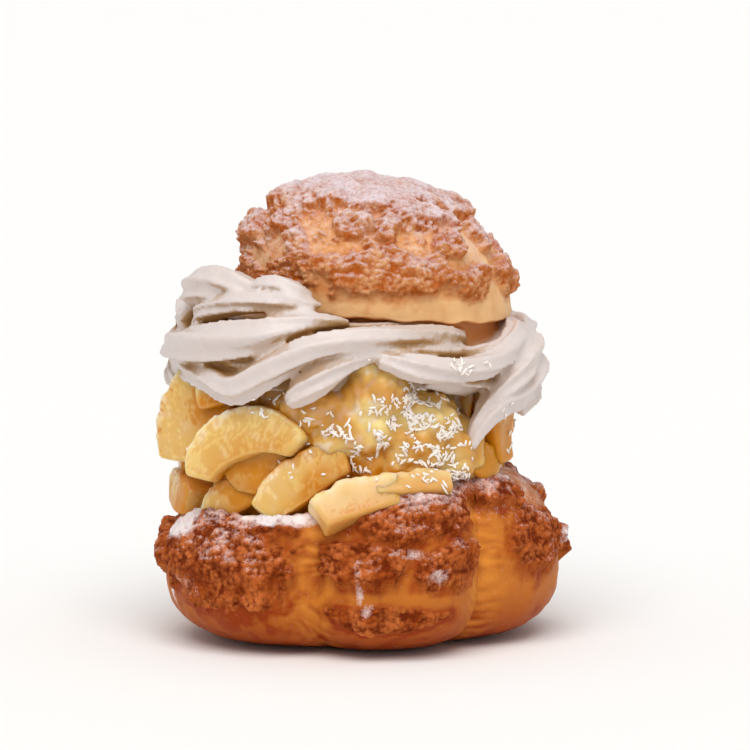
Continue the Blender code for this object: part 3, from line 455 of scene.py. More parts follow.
base_bm = closed_skin(BASE_SEGMENTS, BASE_RINGS, base_surface)
base_frames = [patch_frame(base_wall, patch) for patch in BASE_PATCHES]
base_values = {value: [] for value in SKIN_VALUES}
base_moves = []
for vertex in base_bm.verts:
    point = vertex.co
    azimuth = math.degrees(math.atan2(point.y, point.x)) % 360.0
    _, across = lobe_at(azimuth)
    in_crease = 1.0 - smoothstep(0.0, CREASE_WIDTH, min(across, 1.0 - across))
    lift, fine, cover, height, painted_edge_shade = crust_at(point, BASE_PATCHES, base_frames)
    # Slanting wrinkles where the dough stretched, deepest in the creases
    stretch = point + 2.5 * noise.noise_vector(point / 9.0)
    streak = noise.noise(Vector((stretch.x / 2.6, stretch.y / 2.6, stretch.z / 0.9 + stretch.x / 2.2)))
    lift += fine + 0.35 * streak * (1.0 - cover) * smoothstep(3.0, 9.0, point.z) * (0.25 + in_crease)
    lift *= smoothstep(0.0, 2.0, point.z)
    base_moves.append(vertex.normal * lift)
    # Darker towards the foot and paler in the creases, with painted shade in the dough at the foot of each
    # plate's edge
    foot = 1.0 - smoothstep(1.0, 13.0, point.z)
    browning_and_shade = 0.50 + 0.42 * foot - 0.22 * in_crease + 0.5 * streak * in_crease + 0.40 * max(painted_edge_shade, 0.0)
    base_values["plate"].append(cover)
    base_values["crumb"].append(height)
    base_values["browning_and_shade"].append(browning_and_shade)
    dust = 0.35 * smoothstep(0.25, 0.85, vertex.normal.z) * smoothstep(17.0, 26.0, point.z)
    dust = max(dust, base_dust(azimuth, point.z)) * (1.0 + 0.9 * noise.noise(point / 1.5))
    haze = 0.4 * (height - 0.5) - 0.06 + 0.35 * noise.noise(point / 3.5)
    base_values["sugar"].append(dust + haze * cover)
move_points(base_bm, base_moves)
settle_sugar(base_bm, base_values, 0.35)
base_piece = settle("choux_base_crust", base_bm)
base_material = baked_choux(
    "baked_choux_brown", "#E49238", "#983800", "#742800", "#D07238", "#A84C14", "#F5E9E8",
)
dress(base_piece, base_material, "choux_base", base_values)


# Crushed pineapple: soft ripe flesh in its juice, spooned into the dish of the lower half and heaped up
# at the front, where it reaches the cream.

FILLING_CENTRE = Vector((-4.5, -1.0, 0.0))
FILLING_REACH = 24.5
FILLING_TOP = 48.5
FILLING_VOXEL = 0.55
SCRAP_SIZE = 4.2
SHREDDED_SIZE = 1.7

Heap = namedtuple("Heap", "x y z half_x half_y half_z")
HEAPS = (
    Heap(2.2, -22.6, 47.8, 7.2, 7.2, 7.0),
    Heap(-1.4, -20.8, 40.6, 11.6, 8.6, 8.0),
    Heap(9.0, -18.8, 38.8, 10.0, 8.8, 8.6),
    Heap(14.6, -16.2, 35.4, 8.0, 8.4, 6.8),
    Heap(-8.4, -21.2, 43.8, 8.0, 7.8, 6.8),
    Heap(5.0, -20.4, 33.8, 12.0, 7.6, 5.0),
)


def mesh_as_shown(thing):
    """The mesh of an object as its modifiers or bevel make it."""
    graph = bpy.context.evaluated_depsgraph_get()
    graph.update()
    return bpy.data.meshes.new_from_object(thing.evaluated_get(graph), depsgraph=graph)


def run_together(bm, voxel):
    """One even closed skin round everything in a mesh, which it replaces."""
    lump = settle("lump", bm, Matrix.Scale(1.0 / MM, 4))
    skin = lump.modifiers.new("run_together", "REMESH")
    skin.mode = "VOXEL"
    skin.voxel_size = voxel
    bm = bmesh.new()
    bm.from_mesh(mesh_as_shown(lump))
    bpy.data.objects.remove(lump)
    return bm


def soften(bm, times):
    for _ in range(times):
        bmesh.ops.smooth_vert(
            bm, verts=bm.verts, factor=0.5, use_axis_x=True, use_axis_y=True, use_axis_z=True,
        )
    bm.normal_update()


SHADE_REACH = 6.0


def ray_fan(spread, rise, turns):
    """Rays that lean away from +Z at each of these turns about it."""
    return [Vector((spread * math.cos(turn), spread * math.sin(turn), rise)) for turn in turns]


def shaded_by(tree, point, normal, rays):
    """The share of these rays, turned to the surface, that meet something near it."""
    turn = normal.to_track_quat("Z", "Y")
    start = point + normal * 0.15
    return sum(tree.ray_cast(start, turn @ ray, SHADE_REACH)[0] is not None for ray in rays) / len(rays)


def fine_grain(tree, shader, place, size, strength, distance):
    """The fine relief of a soft surface, with grains of this size and height in mm."""
    grain = add_node(
        tree, "ShaderNodeTexNoise", values={"Scale": 1.0 / (size * MM), "Detail": 3.0},
        links={"Vector": place},
    ).outputs["Fac"]
    bump = add_node(
        tree, "ShaderNodeBump", values={"Strength": strength, "Distance": distance * MM},
        links={"Height": grain},
    ).outputs[0]
    tree.links.new(bump, shader.inputs["Normal"])


# Ripe pineapple flesh: wet and glassy, pale yellow where thin or bruised, with a painted highlight along the
# outer edge, and amber as painted shade where it is deep
flesh_material, flesh_nodes, flesh_shader = new_material("ripe_pineapple_flesh", {
    "Roughness": 0.34, "Specular IOR Level": 0.3, "Coat Weight": 0.15, "Coat Roughness": 0.15,
    "Subsurface Weight": 0.8, "Subsurface Radius": (1.0, 0.7, 0.3), "Subsurface Scale": 3.0 * MM,
})
flesh_place = add_node(flesh_nodes, "ShaderNodeTexCoord").outputs["Object"]
flesh_rim, flesh_fibre, flesh_amber_and_shade = (
    add_node(flesh_nodes, "ShaderNodeAttribute", {"attribute_name": value}).outputs["Fac"]
    for value in ("rim", "fibre", "amber_and_shade")
)
flesh_cloud = add_node(
    flesh_nodes, "ShaderNodeTexNoise", values={"Scale": 1.0 / (6.0 * MM), "Detail": 3.0},
    links={"Vector": flesh_place},
).outputs["Fac"]
flesh_share = add_node(
    flesh_nodes, "ShaderNodeMath", {"operation": "MULTIPLY_ADD", "use_clamp": True}, {1: 1.3, 2: -0.5},
    {0: flesh_cloud},
).outputs[0]
flesh_colour = add_node(
    flesh_nodes, "ShaderNodeMix", COLOURS, {COLOUR_A: linear("#E8CA80"), COLOUR_B: linear("#E0B256")},
    {FACTOR: flesh_share},
).outputs[MIXED]
flesh_streak = add_node(
    flesh_nodes, "ShaderNodeMapRange", {"clamp": True},
    {"From Min": 0.55, "From Max": 0.95, "To Max": 0.4}, {"Value": flesh_fibre},
).outputs[0]
# Pale fibre streaks, the pale rim with a painted highlight on its very edge, and amber as painted shade
for share, hue in ((flesh_streak, "#F0D8A0"), (flesh_rim, "#F2E6D0"), (flesh_amber_and_shade, "#CC8406")):
    flesh_colour = add_node(
        flesh_nodes, "ShaderNodeMix", COLOURS, {COLOUR_B: linear(hue)},
        {FACTOR: share, COLOUR_A: flesh_colour},
    ).outputs[MIXED]
flesh_nodes.links.new(flesh_colour, flesh_shader.inputs["Base Color"])
fine_grain(flesh_nodes, flesh_shader, flesh_place, 0.8, 0.3, 0.15)

crush_bm = bmesh.new()
crush_middle = FILLING_CENTRE + Vector((0.0, 0.0, (DISH_FLOOR + FILLING_TOP) / 2.0))
bmesh.ops.create_cone(
    crush_bm, cap_ends=True, segments=64, radius1=FILLING_REACH, radius2=FILLING_REACH,
    depth=FILLING_TOP - DISH_FLOOR, matrix=Matrix.Translation(crush_middle),
)
for heap in HEAPS:
    place = Matrix.Translation(heap[:3]) @ Matrix.Diagonal(heap[3:] + (1.0,))
    bmesh.ops.create_icosphere(crush_bm, subdivisions=4, radius=1.0, matrix=place)
crush_bm = run_together(crush_bm, FILLING_VOXEL)
soften(crush_bm, 3)
crush_moves, crush_fibres = [], []
for vertex in crush_bm.verts:
    outward = Vector((vertex.co.x, vertex.co.y, 0.0)).normalized()
    lump = 0.9 * noise.noise(vertex.co / 5.0)
    scraps = crumbs(vertex.co, SCRAP_SIZE)
    small = crumbs(vertex.co + Vector((5.0, 0.0, 0.0)), SHREDDED_SIZE)
    crush_moves.append(outward * lump + vertex.normal * (1.1 * (scraps - 0.65) + 0.35 * (small - 0.6)))
    crush_fibres.append(0.45 * scraps + 0.55 * small)
move_points(crush_bm, crush_moves)


# Pineapple: wedges cut from the rings of a ripe fruit and piled on the crushed flesh.
# Each has faint fibres that run out from the core, and a rough pale outer arc with a painted highlight along
# its very edge.

CHUNK_BEVEL = 0.65
CHUNK_VOXEL = 0.42
ARC_STEPS = 12
END_THINNESS = 0.6
BACK_FROM_DEG = -14.0
BACK_TO_DEG = 186.0
BACK_TIERS = ((31.0, 21.8), (41.5, 22.6))
BACK_STEP_DEG = 33.0
BACK_SEED = 7

# The middle of a piece, the azimuth that its broad face looks to, its turn and lean, and its sizes.
# The last number is the share of its width that it loses towards either end of its arc.
Chunk = namedtuple("Chunk", "x y z facing_deg turn_deg lean_deg outer span_deg width thick point")
FRONT_CHUNKS = (
    Chunk(-0.9, -31.0, 28.3, 276.0, 17.0, 34.0, 40.0, 25.0, 7.2, 6.0, 0.1),
    Chunk(8.6, -28.4, 30.6, 286.0, 4.0, 46.0, 60.0, 15.0, 5.4, 5.0, 0.3),
    Chunk(-10.8, -25.6, 31.3, 261.0, 36.0, 14.0, 34.0, 36.0, 9.0, 7.0, 0.35),
    Chunk(-22.4, -18.6, 26.9, 243.0, 30.0, 10.0, 26.0, 31.0, 7.0, 8.0, 0.4),
    Chunk(-21.0, -22.2, 39.2, 248.0, 20.0, 12.0, 16.2, 118.0, 9.4, 7.5, 0.45),
    Chunk(-17.8, -21.8, 33.2, 250.0, 14.0, 6.0, 20.0, 46.0, 10.0, 7.0, 0.45),
    Chunk(-28.2, -12.2, 40.2, 230.0, 74.0, 6.0, 42.0, 27.0, 16.5, 8.0, 0.2),
    Chunk(-30.8, -6.4, 26.6, 200.0, -12.0, 4.0, 24.0, 28.0, 8.0, 7.0, 0.3),
    Chunk(-25.6, -17.4, 46.2, 238.0, 12.0, 10.0, 20.0, 24.0, 6.4, 6.0, 0.2),
    Chunk(23.2, -12.0, 37.4, 330.0, 8.0, 0.0, 24.0, 20.0, 9.6, 7.0, 0.1),
    Chunk(19.8, -15.4, 33.6, 318.0, -24.0, 4.0, 26.0, 24.0, 7.0, 7.0, 0.3),
)


def back_chunks():
    """The pieces round the back, laid in two tiers."""
    rng = random.Random(BACK_SEED)
    for tier, (height, reach) in enumerate(BACK_TIERS):
        azimuth = BACK_FROM_DEG + tier * BACK_STEP_DEG / 2.0
        while azimuth < BACK_TO_DEG - tier * BACK_STEP_DEG / 2.0:
            swing = azimuth + rng.uniform(-4.0, 4.0)
            toward_left = smoothstep(60.0, 180.0, swing)
            toward_back = smoothstep(0.0, 60.0, swing)
            swell = 3.2 * toward_back + 4.6 * toward_left
            middle = direction(swing) * (reach + swell + rng.uniform(-0.8, 0.8))
            lift = height - (4.0 * toward_left if tier == 0 else 2.0 * toward_left) + rng.uniform(-1.2, 1.2)
            turn = rng.choice((-1.0, 1.0)) * rng.uniform(8.0, 42.0)
            lean = rng.uniform(4.0, 18.0)
            outer = rng.uniform(25.0, 34.0)
            span = rng.uniform(28.0, 38.0)
            width = rng.uniform(8.0, 13.0)
            thick = rng.uniform(7.0, 8.0)
            point = rng.uniform(0.1, 0.5)
            yield Chunk(middle.x, middle.y, lift, swing, turn, lean, outer, span, width, thick, point)
            azimuth += BACK_STEP_DEG


def chunk_matrix(chunk):
    """Turns a piece's own axes, across, up and out of its broad face, into the puff's."""
    lean = math.radians(chunk.lean_deg)
    face = direction(chunk.facing_deg) * math.cos(lean) + Vector((0.0, 0.0, math.sin(lean)))
    across = direction(chunk.facing_deg + 90.0)
    upward = face.cross(across)
    turn = Matrix.Rotation(math.radians(chunk.turn_deg), 3, "Z")
    turned = Matrix((across, upward, face)).transposed() @ turn
    return Matrix.Translation(Vector((chunk.x, chunk.y, chunk.z))) @ turned.to_4x4()


def cut_wedge(chunk):
    """A wedge of a pineapple ring in its own axes: outer arc, inner arc and two cut ends."""
    bm = bmesh.new()
    half = math.radians(chunk.span_deg) / 2.0
    centre = Vector((0.0, chunk.width / 2.0 - chunk.outer, 0.0))
    inner = chunk.outer - chunk.width
    middle_radius = (chunk.outer + inner) / 2.0
    first_spoke = Vector((math.sin(-half), math.cos(half), 0.0))
    corners = ((inner, -0.5), (chunk.outer, -0.5), (chunk.outer, 0.5), (inner, 0.5))
    cut_face = bm.faces.new([
        bm.verts.new(centre + radius * first_spoke + Vector((0.0, 0.0, side * chunk.thick)))
        for radius, side in corners
    ])
    bmesh.ops.spin(
        bm, geom=[cut_face], cent=centre, axis=(0.0, 0.0, -1.0), angle=2.0 * half, steps=ARC_STEPS,
        use_duplicate=False,
    )
    for vertex in bm.verts:
        spoke = vertex.co.xy - centre.xy
        slim = 1.0 - chunk.point * (math.atan2(spoke.x, spoke.y) / half) ** 2
        spoke *= (middle_radius + (spoke.length - middle_radius) * slim) / spoke.length
        vertex.co.xy = centre.xy + spoke
        vertex.co.z *= mix(1.0, slim, END_THINNESS)
    bmesh.ops.recalc_face_normals(bm, faces=bm.faces)
    rims = [edge for edge in bm.edges if edge.calc_face_angle(0.0) > math.radians(40.0)]
    bmesh.ops.bevel(
        bm, geom=rims, offset=CHUNK_BEVEL, affect="EDGES", segments=3, profile=0.5, material=-1,
    )
    return bm


def wear_wedge(bm, chunk, seed):
    """Raises the fibres and lumps of the flesh and roughens its outer arc.

    Returns how far each point is on the rim, on a fibre, and towards the core.
    """
    centre_y = chunk.width / 2.0 - chunk.outer
    shift = Vector((seed * 7.3, seed * 3.1, 0.0))
    moves, rims, fibres, cores = [], [], [], []
    for vertex in bm.verts:
        x, y, z = vertex.co
        radius = math.hypot(x, y - centre_y)
        along = math.atan2(x, y - centre_y) * chunk.outer
        # Pale towards the outer arc, and a thin painted highlight right on its edge
        rim = 0.5 * smoothstep(chunk.outer - 3.0, chunk.outer - 0.8, radius)
        rim += 0.5 * smoothstep(chunk.outer - 0.9, chunk.outer - 0.4, radius)
        fibre = noise.noise(Vector((along / 1.1, radius / 9.0, z / 1.4)) + shift)
        lump = noise.noise(vertex.co / 5.5 + shift)
        notch = max(0.0, noise.noise(Vector((along / 2.4, z / 5.0, 3.0)) + shift))
        rough = noise.noise(vertex.co / 0.8 + shift)
        lift = 0.07 * fibre + 0.6 * lump - 0.1 + rim * (0.22 * rough - 0.9 * notch)
        moves.append(vertex.normal * lift)
        rims.append(clamp(rim + 0.6 * noise.noise(vertex.co / 1.5 + shift) - 0.1))
        fibres.append(0.5 + 0.5 * fibre)
        cores.append(clamp((chunk.outer - radius) / chunk.width + 0.3 * lump))
    move_points(bm, moves)
    return rims, fibres, cores


wedges = []
for number, chunk in enumerate(list(FRONT_CHUNKS) + list(back_chunks()), start=1):
    wedge_bm = run_together(cut_wedge(chunk), CHUNK_VOXEL)
    soften(wedge_bm, 2)
    rims, fibres, cores = wear_wedge(wedge_bm, chunk, number)
    wedge_bm.transform(chunk_matrix(chunk))
    wedges.append((number, wedge_bm, rims, fibres, cores))

# The whole pile, to find where flesh lies deep between other flesh, for its painted amber shade, and where
# coconut lands
pile_bm = bmesh.new()
for heaped_bm in [crush_bm] + [wedge[1] for wedge in wedges]:
    pile_mesh = bpy.data.meshes.new("pile")
    heaped_bm.to_mesh(pile_mesh)
    pile_bm.from_mesh(pile_mesh)
pile_tree = BVHTree.FromBMesh(pile_bm)
pile_bm.free()
DEEP_RAYS = ray_fan(0.8, 0.6, (0.3, 1.35, 2.4, 3.44, 4.49, 5.54))


def finish_flesh(name, node, bm, rims, fibres, cores):
    """Makes a piece of fruit, amber towards its core and where other flesh hems it in."""
    amber_and_shade = []
    for vertex, core in zip(bm.verts, cores):
        # Painted amber shade, from the piece's cores value and from the share of short rays that meet other
        # flesh
        hemmed = shaded_by(pile_tree, vertex.co, vertex.normal, DEEP_RAYS)
        amber_and_shade.append(clamp(0.75 * smoothstep(0.3, 1.0, core) + 0.9 * smoothstep(0.25, 0.85, hemmed)))
    dress(settle(name, bm), flesh_material, node, {"rim": rims, "fibre": fibres, "amber_and_shade": amber_and_shade})


# The crushed flesh is a pale mush round this azimuth and height, and amber as painted shade low down and at
# the left
MUSH_AZIMUTH, MUSH_HALF_TURN = 299.0, 15.0
MUSH_HEIGHT, MUSH_HALF_HEIGHT = 36.5, 9.0
crush_rims, crush_cores = [], []
for vertex in crush_bm.verts:
    x, y, z = vertex.co
    turned = math.degrees(math.atan2(y, x)) % 360.0 - MUSH_AZIMUTH
    apart = math.hypot(turned / MUSH_HALF_TURN, (z - MUSH_HEIGHT) / MUSH_HALF_HEIGHT)
    crush_rims.append(clamp((1.0 - apart ** 2) * (0.05 + 0.6 * noise.noise(vertex.co / 1.6))))
    amber = max(1.0 - smoothstep(33.0, 43.0, z), 1.0 - smoothstep(-9.0, 3.0, x))
    crush_cores.append(clamp(0.64 + 0.3 * amber + 0.6 * noise.noise(vertex.co / 4.5)))
finish_flesh(
    "pineapple_crushed", "crushed_pineapple", crush_bm, crush_rims, crush_fibres,
    crush_cores,
)
for number, wedge_bm, rims, fibres, cores in wedges:
    # The two pieces that lie over the bun's rim have lost their juice and are paler
    if number in (1, 2):
        rims = [clamp(0.5 * rim + 0.2) for rim in rims]
        cores = [0.6 * core + 0.33 for core in cores]
    # The large arch at the left gets less painted amber shade, as painted light that comes through it
    if number == 5:
        cores = [0.75 * core for core in cores]
    # The two at the right edge lie in shade, painted as more amber
    if number in (10, 11):
        cores = [clamp(core + 0.55) for core in cores]
    name, node = f"pineapple_wedge_{number:02d}", f"pineapple_{number:02d}"
    finish_flesh(name, node, wedge_bm, rims, fibres, cores)


# Whipped cream: piped from a wide star nozzle in ribbons that run round the bun, dip over the fruit and
# lap over the upper half's edge. The grooves of the nozzle run along each ribbon.

CREAM_CENTRE = Vector((-4.0, 0.5, 0.0))
CREAM_REACH = 27.2
CREAM_TOP_REACH = 25.6
CREAM_BOTTOM = 47.0
CREAM_TOP = 59.2
PLUG_CENTRE = Vector((2.3, 1.0, 0.0))
PLUG_REACH = 22.6
PLUG_TOP = 63.5
CREAM_VOXEL = 0.45
RIBBON_STEPS = 6
NOZZLE_TEETH = 6
POINTS_PER_TOOTH = 10
GROOVE_DEPTH = 0.5
TWIST_PER_STEP = 0.06
THINNEST_HALF = 0.5
CREAM_SOFTNESS = ((2.2, 0.16), (0.9, 0.07))

# Stations along each ribbon: azimuth, reach, height and half thickness
RIBBONS = (
    # Two short curls that lap over the upper half's edge
    ((182, 29.5, 60.5, 1.6), (195, 31.0, 63.4, 2.9), (210, 29.6, 65.2, 3.1), (223, 28.4, 64.8, 2.4),
     (229, 26.0, 64.0, 1.0)),
    ((225, 28.2, 63.6, 1.2), (231, 28.4, 65.0, 1.9), (238, 28.0, 65.6, 2.1), (245, 27.4, 65.0, 1.6),
     (250, 26.0, 63.8, 0.8)),
    # A thin ribbon under them
    ((196, 30.6, 57.6, 1.2), (207, 31.2, 60.2, 2.0), (225, 30.6, 62.4, 1.9), (240, 29.2, 63.0, 1.8),
     (249, 27.8, 62.8, 1.2), (254, 26.4, 62.4, 0.7)),
    # The broad ribbon that sweeps up from the left
    ((150, 29.0, 56.0, 1.6), (166, 31.8, 53.6, 2.9), (182, 33.0, 52.0, 3.3), (200, 33.4, 53.2, 3.6),
     (218, 33.0, 54.8, 3.9), (236, 32.2, 57.0, 3.5), (244, 31.0, 58.6, 2.8), (252, 29.2, 59.8, 1.9),
     (259, 27.4, 59.8, 1.2), (265, 25.8, 59.4, 0.7)),
    # The long ribbon that dips, climbs and runs under the upper half to the right
    ((186, 31.6, 48.4, 1.8), (200, 33.0, 49.4, 2.3), (216, 33.4, 48.8, 2.5), (229, 33.6, 47.6, 2.8),
     (241, 33.2, 51.4, 2.8), (253, 32.4, 55.2, 2.5), (266, 30.6, 57.0, 2.2), (285, 28.0, 57.4, 1.8),
     (304, 25.8, 56.8, 1.7), (320, 23.4, 55.6, 1.3)),
    # The ribbon below it, above the fruit
    ((246, 31.6, 45.6, 1.3), (250, 32.0, 47.4, 2.3), (256, 31.6, 49.8, 2.5), (263, 30.4, 52.2, 2.1),
     (272, 29.2, 54.0, 1.5), (284, 28.2, 54.4, 1.4), (298, 27.4, 54.0, 1.4), (310, 26.8, 53.6, 1.2),
     (322, 25.8, 53.2, 0.9)),
    # The ribbon that hangs in a bow at the right and climbs to the edge
    ((276, 29.4, 53.4, 1.4), (289, 30.6, 51.8, 2.4), (303, 31.0, 51.0, 2.2), (317, 30.8, 51.5, 2.3),
     (331, 29.8, 53.4, 2.4), (345, 28.4, 55.4, 2.2), (356, 26.6, 56.8, 1.5)),
    # The fold that hangs at the right, and its thin tail over the fruit
    ((8, 26.4, 54.0, 2.2), (356, 29.0, 53.2, 3.3), (346, 30.2, 50.6, 4.3), (335, 30.0, 46.4, 3.7),
     (325, 29.4, 44.2, 2.9), (317, 29.0, 40.6, 1.9), (312, 28.6, 36.4, 1.0)),
    ((4, 28.6, 50.6, 2.0), (354, 30.6, 47.0, 2.6), (344, 31.0, 43.8, 2.0), (338, 30.6, 41.6, 1.0)),
    # The smooth face of that fold
    ((351, 29.4, 55.0, 1.4), (343, 31.0, 52.6, 2.4), (334, 31.4, 49.6, 2.7), (326, 30.8, 46.8, 2.1),
     (321, 30.0, 44.6, 1.2)),
    # The soft mass behind these folds
    ((296, 25.4, 50.4, 2.6), (315, 25.8, 49.8, 3.8), (335, 26.0, 50.4, 4.4), (355, 26.0, 52.0, 4.4),
     (15, 25.4, 53.0, 3.4)),
    # Cream that shows between the folds at the left
    ((203, 29.8, 50.4, 1.6), (216, 30.6, 51.2, 2.6), (230, 30.8, 51.6, 2.6), (243, 29.8, 54.6, 2.2),
     (254, 28.6, 57.0, 1.4)),
    # The side seen at the left edge
    ((198, 32.0, 45.6, 1.4), (186, 33.4, 47.0, 2.4), (172, 33.2, 48.4, 2.6), (158, 32.0, 49.2, 2.4),
     (140, 30.4, 49.6, 1.6)),
    ((190, 31.2, 57.2, 2.0), (174, 31.6, 58.4, 2.8), (156, 30.4, 59.8, 2.8), (138, 28.6, 60.6, 1.6)),
)

# Ribbons round the back, piped in tiers of height, reach, half thickness and first azimuth
BACK_RIBBONS = (
    (48.6, 29.2, 2.5, 14.0), (53.0, 30.0, 2.8, -2.0), (57.6, 28.8, 2.7, 20.0), (61.6, 26.8, 2.1, 52.0),
)
BACK_RIBBON_TO_DEG = 158.0
BACK_RIBBON_STEP_DEG = 18.0


def back_ribbon(tier):
    height, reach, half, start = BACK_RIBBONS[tier]
    count = int((BACK_RIBBON_TO_DEG - start) / BACK_RIBBON_STEP_DEG)
    stations = []
    for i in range(count + 1):
        azimuth = start + i * BACK_RIBBON_STEP_DEG
        wave = math.sin(math.radians(azimuth * 2.3 + 75.0 * tier))
        taper = 0.45 if i in (0, count) else 1.0
        swell = 1.6 * smoothstep(40.0, 150.0, azimuth) + 0.5 * wave
        stations.append((azimuth, reach + swell, height + 1.4 * wave, half * taper))
    return stations


def ribbon_path(stations):
    """Points, with the half thickness as a fourth number, along a smooth curve through the stations."""
    knots = []
    for azimuth, reach, height, half in stations:
        place = direction(azimuth) * reach
        knots.append(Vector((place.x, place.y, height, half)))
    knots = [2.0 * knots[0] - knots[1]] + knots + [2.0 * knots[-1] - knots[-2]]
    path = []
    for before, start, end, after in zip(knots, knots[1:], knots[2:], knots[3:]):
        for step in range(RIBBON_STEPS):
            t = step / RIBBON_STEPS
            point = 2.0 * start + (end - before) * t
            point += (2.0 * before - 5.0 * start + 4.0 * end - after) * t * t
            point += (3.0 * start - before - 3.0 * end + after) * t * t * t
            path.append(0.5 * point)
    return path + [knots[-2]]


def piped_ribbon(stations, nozzle):
    """The mesh of one ribbon squeezed through the nozzle, closed at both ends."""
    path = ribbon_path(stations)
    curve = bpy.data.curves.new("ribbon", "CURVE")
    curve.dimensions = "3D"
    curve.bevel_mode = "OBJECT"
    curve.bevel_object = nozzle
    curve.use_fill_caps = True
    spline = curve.splines.new("POLY")
    spline.points.add(len(path) - 1)
    for i, (point, knot) in enumerate(zip(spline.points, path)):
        point.co = (knot.x, knot.y, knot.z, 1.0)
        point.radius = max(knot.w, THINNEST_HALF)
        point.tilt = TWIST_PER_STEP * i
    ribbon = bpy.data.objects.new("ribbon", curve)
    bpy.context.scene.collection.objects.link(ribbon)
    mesh = mesh_as_shown(ribbon)
    bpy.data.objects.remove(ribbon)
    return mesh


nozzle_curve = bpy.data.curves.new("nozzle", "CURVE")
nozzle_curve.dimensions = "2D"
nozzle_rim = nozzle_curve.splines.new("POLY")
nozzle_rim.points.add(POINTS_PER_TOOTH * NOZZLE_TEETH - 1)
nozzle_rim.use_cyclic_u = True
for i, point in enumerate(nozzle_rim.points):
    angle = 2.0 * math.pi * i / len(nozzle_rim.points)
    groove = abs(math.sin(NOZZLE_TEETH * angle / 2.0 + 0.7)) ** 0.8
    radius = 1.2 - GROOVE_DEPTH * (0.7 + 0.3 * math.sin(2.0 * angle + 1.0)) * groove
    point.co = (radius * math.cos(angle), radius * math.sin(angle), 0.0, 1.0)
nozzle = bpy.data.objects.new("nozzle", nozzle_curve)
bpy.context.scene.collection.objects.link(nozzle)

cream_bm = bmesh.new()
for segments, centre, top, low_reach, high_reach in (
    (96, CREAM_CENTRE, CREAM_TOP, CREAM_REACH, CREAM_TOP_REACH),
    (72, PLUG_CENTRE, PLUG_TOP, PLUG_REACH, PLUG_REACH),
):
    middle = centre + Vector((0.0, 0.0, (CREAM_BOTTOM + top) / 2.0))
    bmesh.ops.create_cone(
        cream_bm, cap_ends=True, segments=segments, radius1=low_reach, radius2=high_reach,
        depth=top - CREAM_BOTTOM, matrix=Matrix.Translation(middle),
    )
for stations in RIBBONS + tuple(back_ribbon(tier) for tier in range(len(BACK_RIBBONS))):
    cream_bm.from_mesh(piped_ribbon(stations, nozzle))
bpy.data.objects.remove(nozzle)
cream_bm = run_together(cream_bm, CREAM_VOXEL)
soften(cream_bm, 1)
move_points(cream_bm, [vertex.normal * unevenness(vertex.co, CREAM_SOFTNESS) for vertex in cream_bm.verts])
cream_tree = BVHTree.FromBMesh(cream_bm)
fold_rays = ray_fan(0.75, 0.66, (0.4, 1.3, 2.2, 3.1, 4.0, 4.9, 5.8))
painted_fold_shades, painted_dough_glow = [], []
for vertex in cream_bm.verts:
    from_plug = math.hypot(vertex.co.x - PLUG_CENTRE.x, vertex.co.y - PLUG_CENTRE.y) - PLUG_REACH
    # Painted shade as well on the cream right under the overhang of the upper half, at the front
    shade = 0.2 * smoothstep(48.0, 56.0, vertex.co.z) * (1.0 - smoothstep(6.0, 10.0, from_plug))
    shade *= 1.0 - smoothstep(16.0, 24.0, vertex.co.x)
    # Painted shade in the folds: the share of short rays that meet other cream
    folded = shaded_by(cream_tree, vertex.co, vertex.normal, fold_rays)
    # The fold at the right stands free: less painted shade on it, as painted light that comes through it
    folded *= 1.0 - 0.6 * smoothstep(20.0, 26.0, vertex.co.x)
    painted_fold_shades.append(shade + folded)
    # Painted orange glow of light off the baked dough on the cream close under the upper half
    painted_dough_glow.append((1.0 - smoothstep(0.2, 1.0, from_plug)) * smoothstep(53.0, 55.5, vertex.co.z))

# Dairy cream whipped to soft peaks: an off-white satin that light sinks into, with painted warm shade in the
# folds
cream_material, cream_nodes, cream_shader = new_material("whipped_dairy_cream", {
    "Roughness": 0.42, "Subsurface Weight": 0.2, "Subsurface Radius": (1.0, 0.8, 0.6),
    "Subsurface Scale": 1.0 * MM,
})
cream_place = add_node(cream_nodes, "ShaderNodeTexCoord").outputs["Object"]
cream_fold, cream_dough_glow = (
    add_node(cream_nodes, "ShaderNodeAttribute", {"attribute_name": value}).outputs["Fac"]
    for value in ("in_fold", "under")
)
cream_cloud = add_node(
    cream_nodes, "ShaderNodeTexNoise", values={"Scale": 1.0 / (6.0 * MM), "Detail": 2.0},
    links={"Vector": cream_place},
).outputs["Fac"]
cream_colour = add_node(
    cream_nodes, "ShaderNodeMix", COLOURS, {COLOUR_A: linear("#D8CDCB"), COLOUR_B: linear("#D9CAC1")},
    {FACTOR: cream_cloud},
).outputs[MIXED]
cream_fold_shade = add_node(
    cream_nodes, "ShaderNodeMapRange", {"clamp": True}, {"From Min": 0.06, "From Max": 0.6, "To Max": 1.0},
    {"Value": cream_fold},
).outputs[0]
# Painted warm shade in the folds, and under the upper half a painted orange glow of light off the baked
# dough
for share, hue in ((cream_fold_shade, "#AE8450"), (cream_dough_glow, "#C47A34")):
    cream_colour = add_node(
        cream_nodes, "ShaderNodeMix", COLOURS, {COLOUR_B: linear(hue)},
        {FACTOR: share, COLOUR_A: cream_colour},
    ).outputs[MIXED]
cream_nodes.links.new(cream_colour, cream_shader.inputs["Base Color"])
fine_grain(cream_nodes, cream_shader, cream_place, 0.5, 0.35, 0.12)
cream_piece = settle("whipped_cream_ribbons", cream_bm)
cream_values = {"in_fold": painted_fold_shades, "under": painted_dough_glow}
dress(cream_piece, cream_material, "whipped_cream", cream_values)


# Upper half of the bun: the same paste and crust, split off and set back on the cream, leaning right.
# One broad plate covers its crown, under a heavy dust of icing sugar. A second ragged band runs below it.

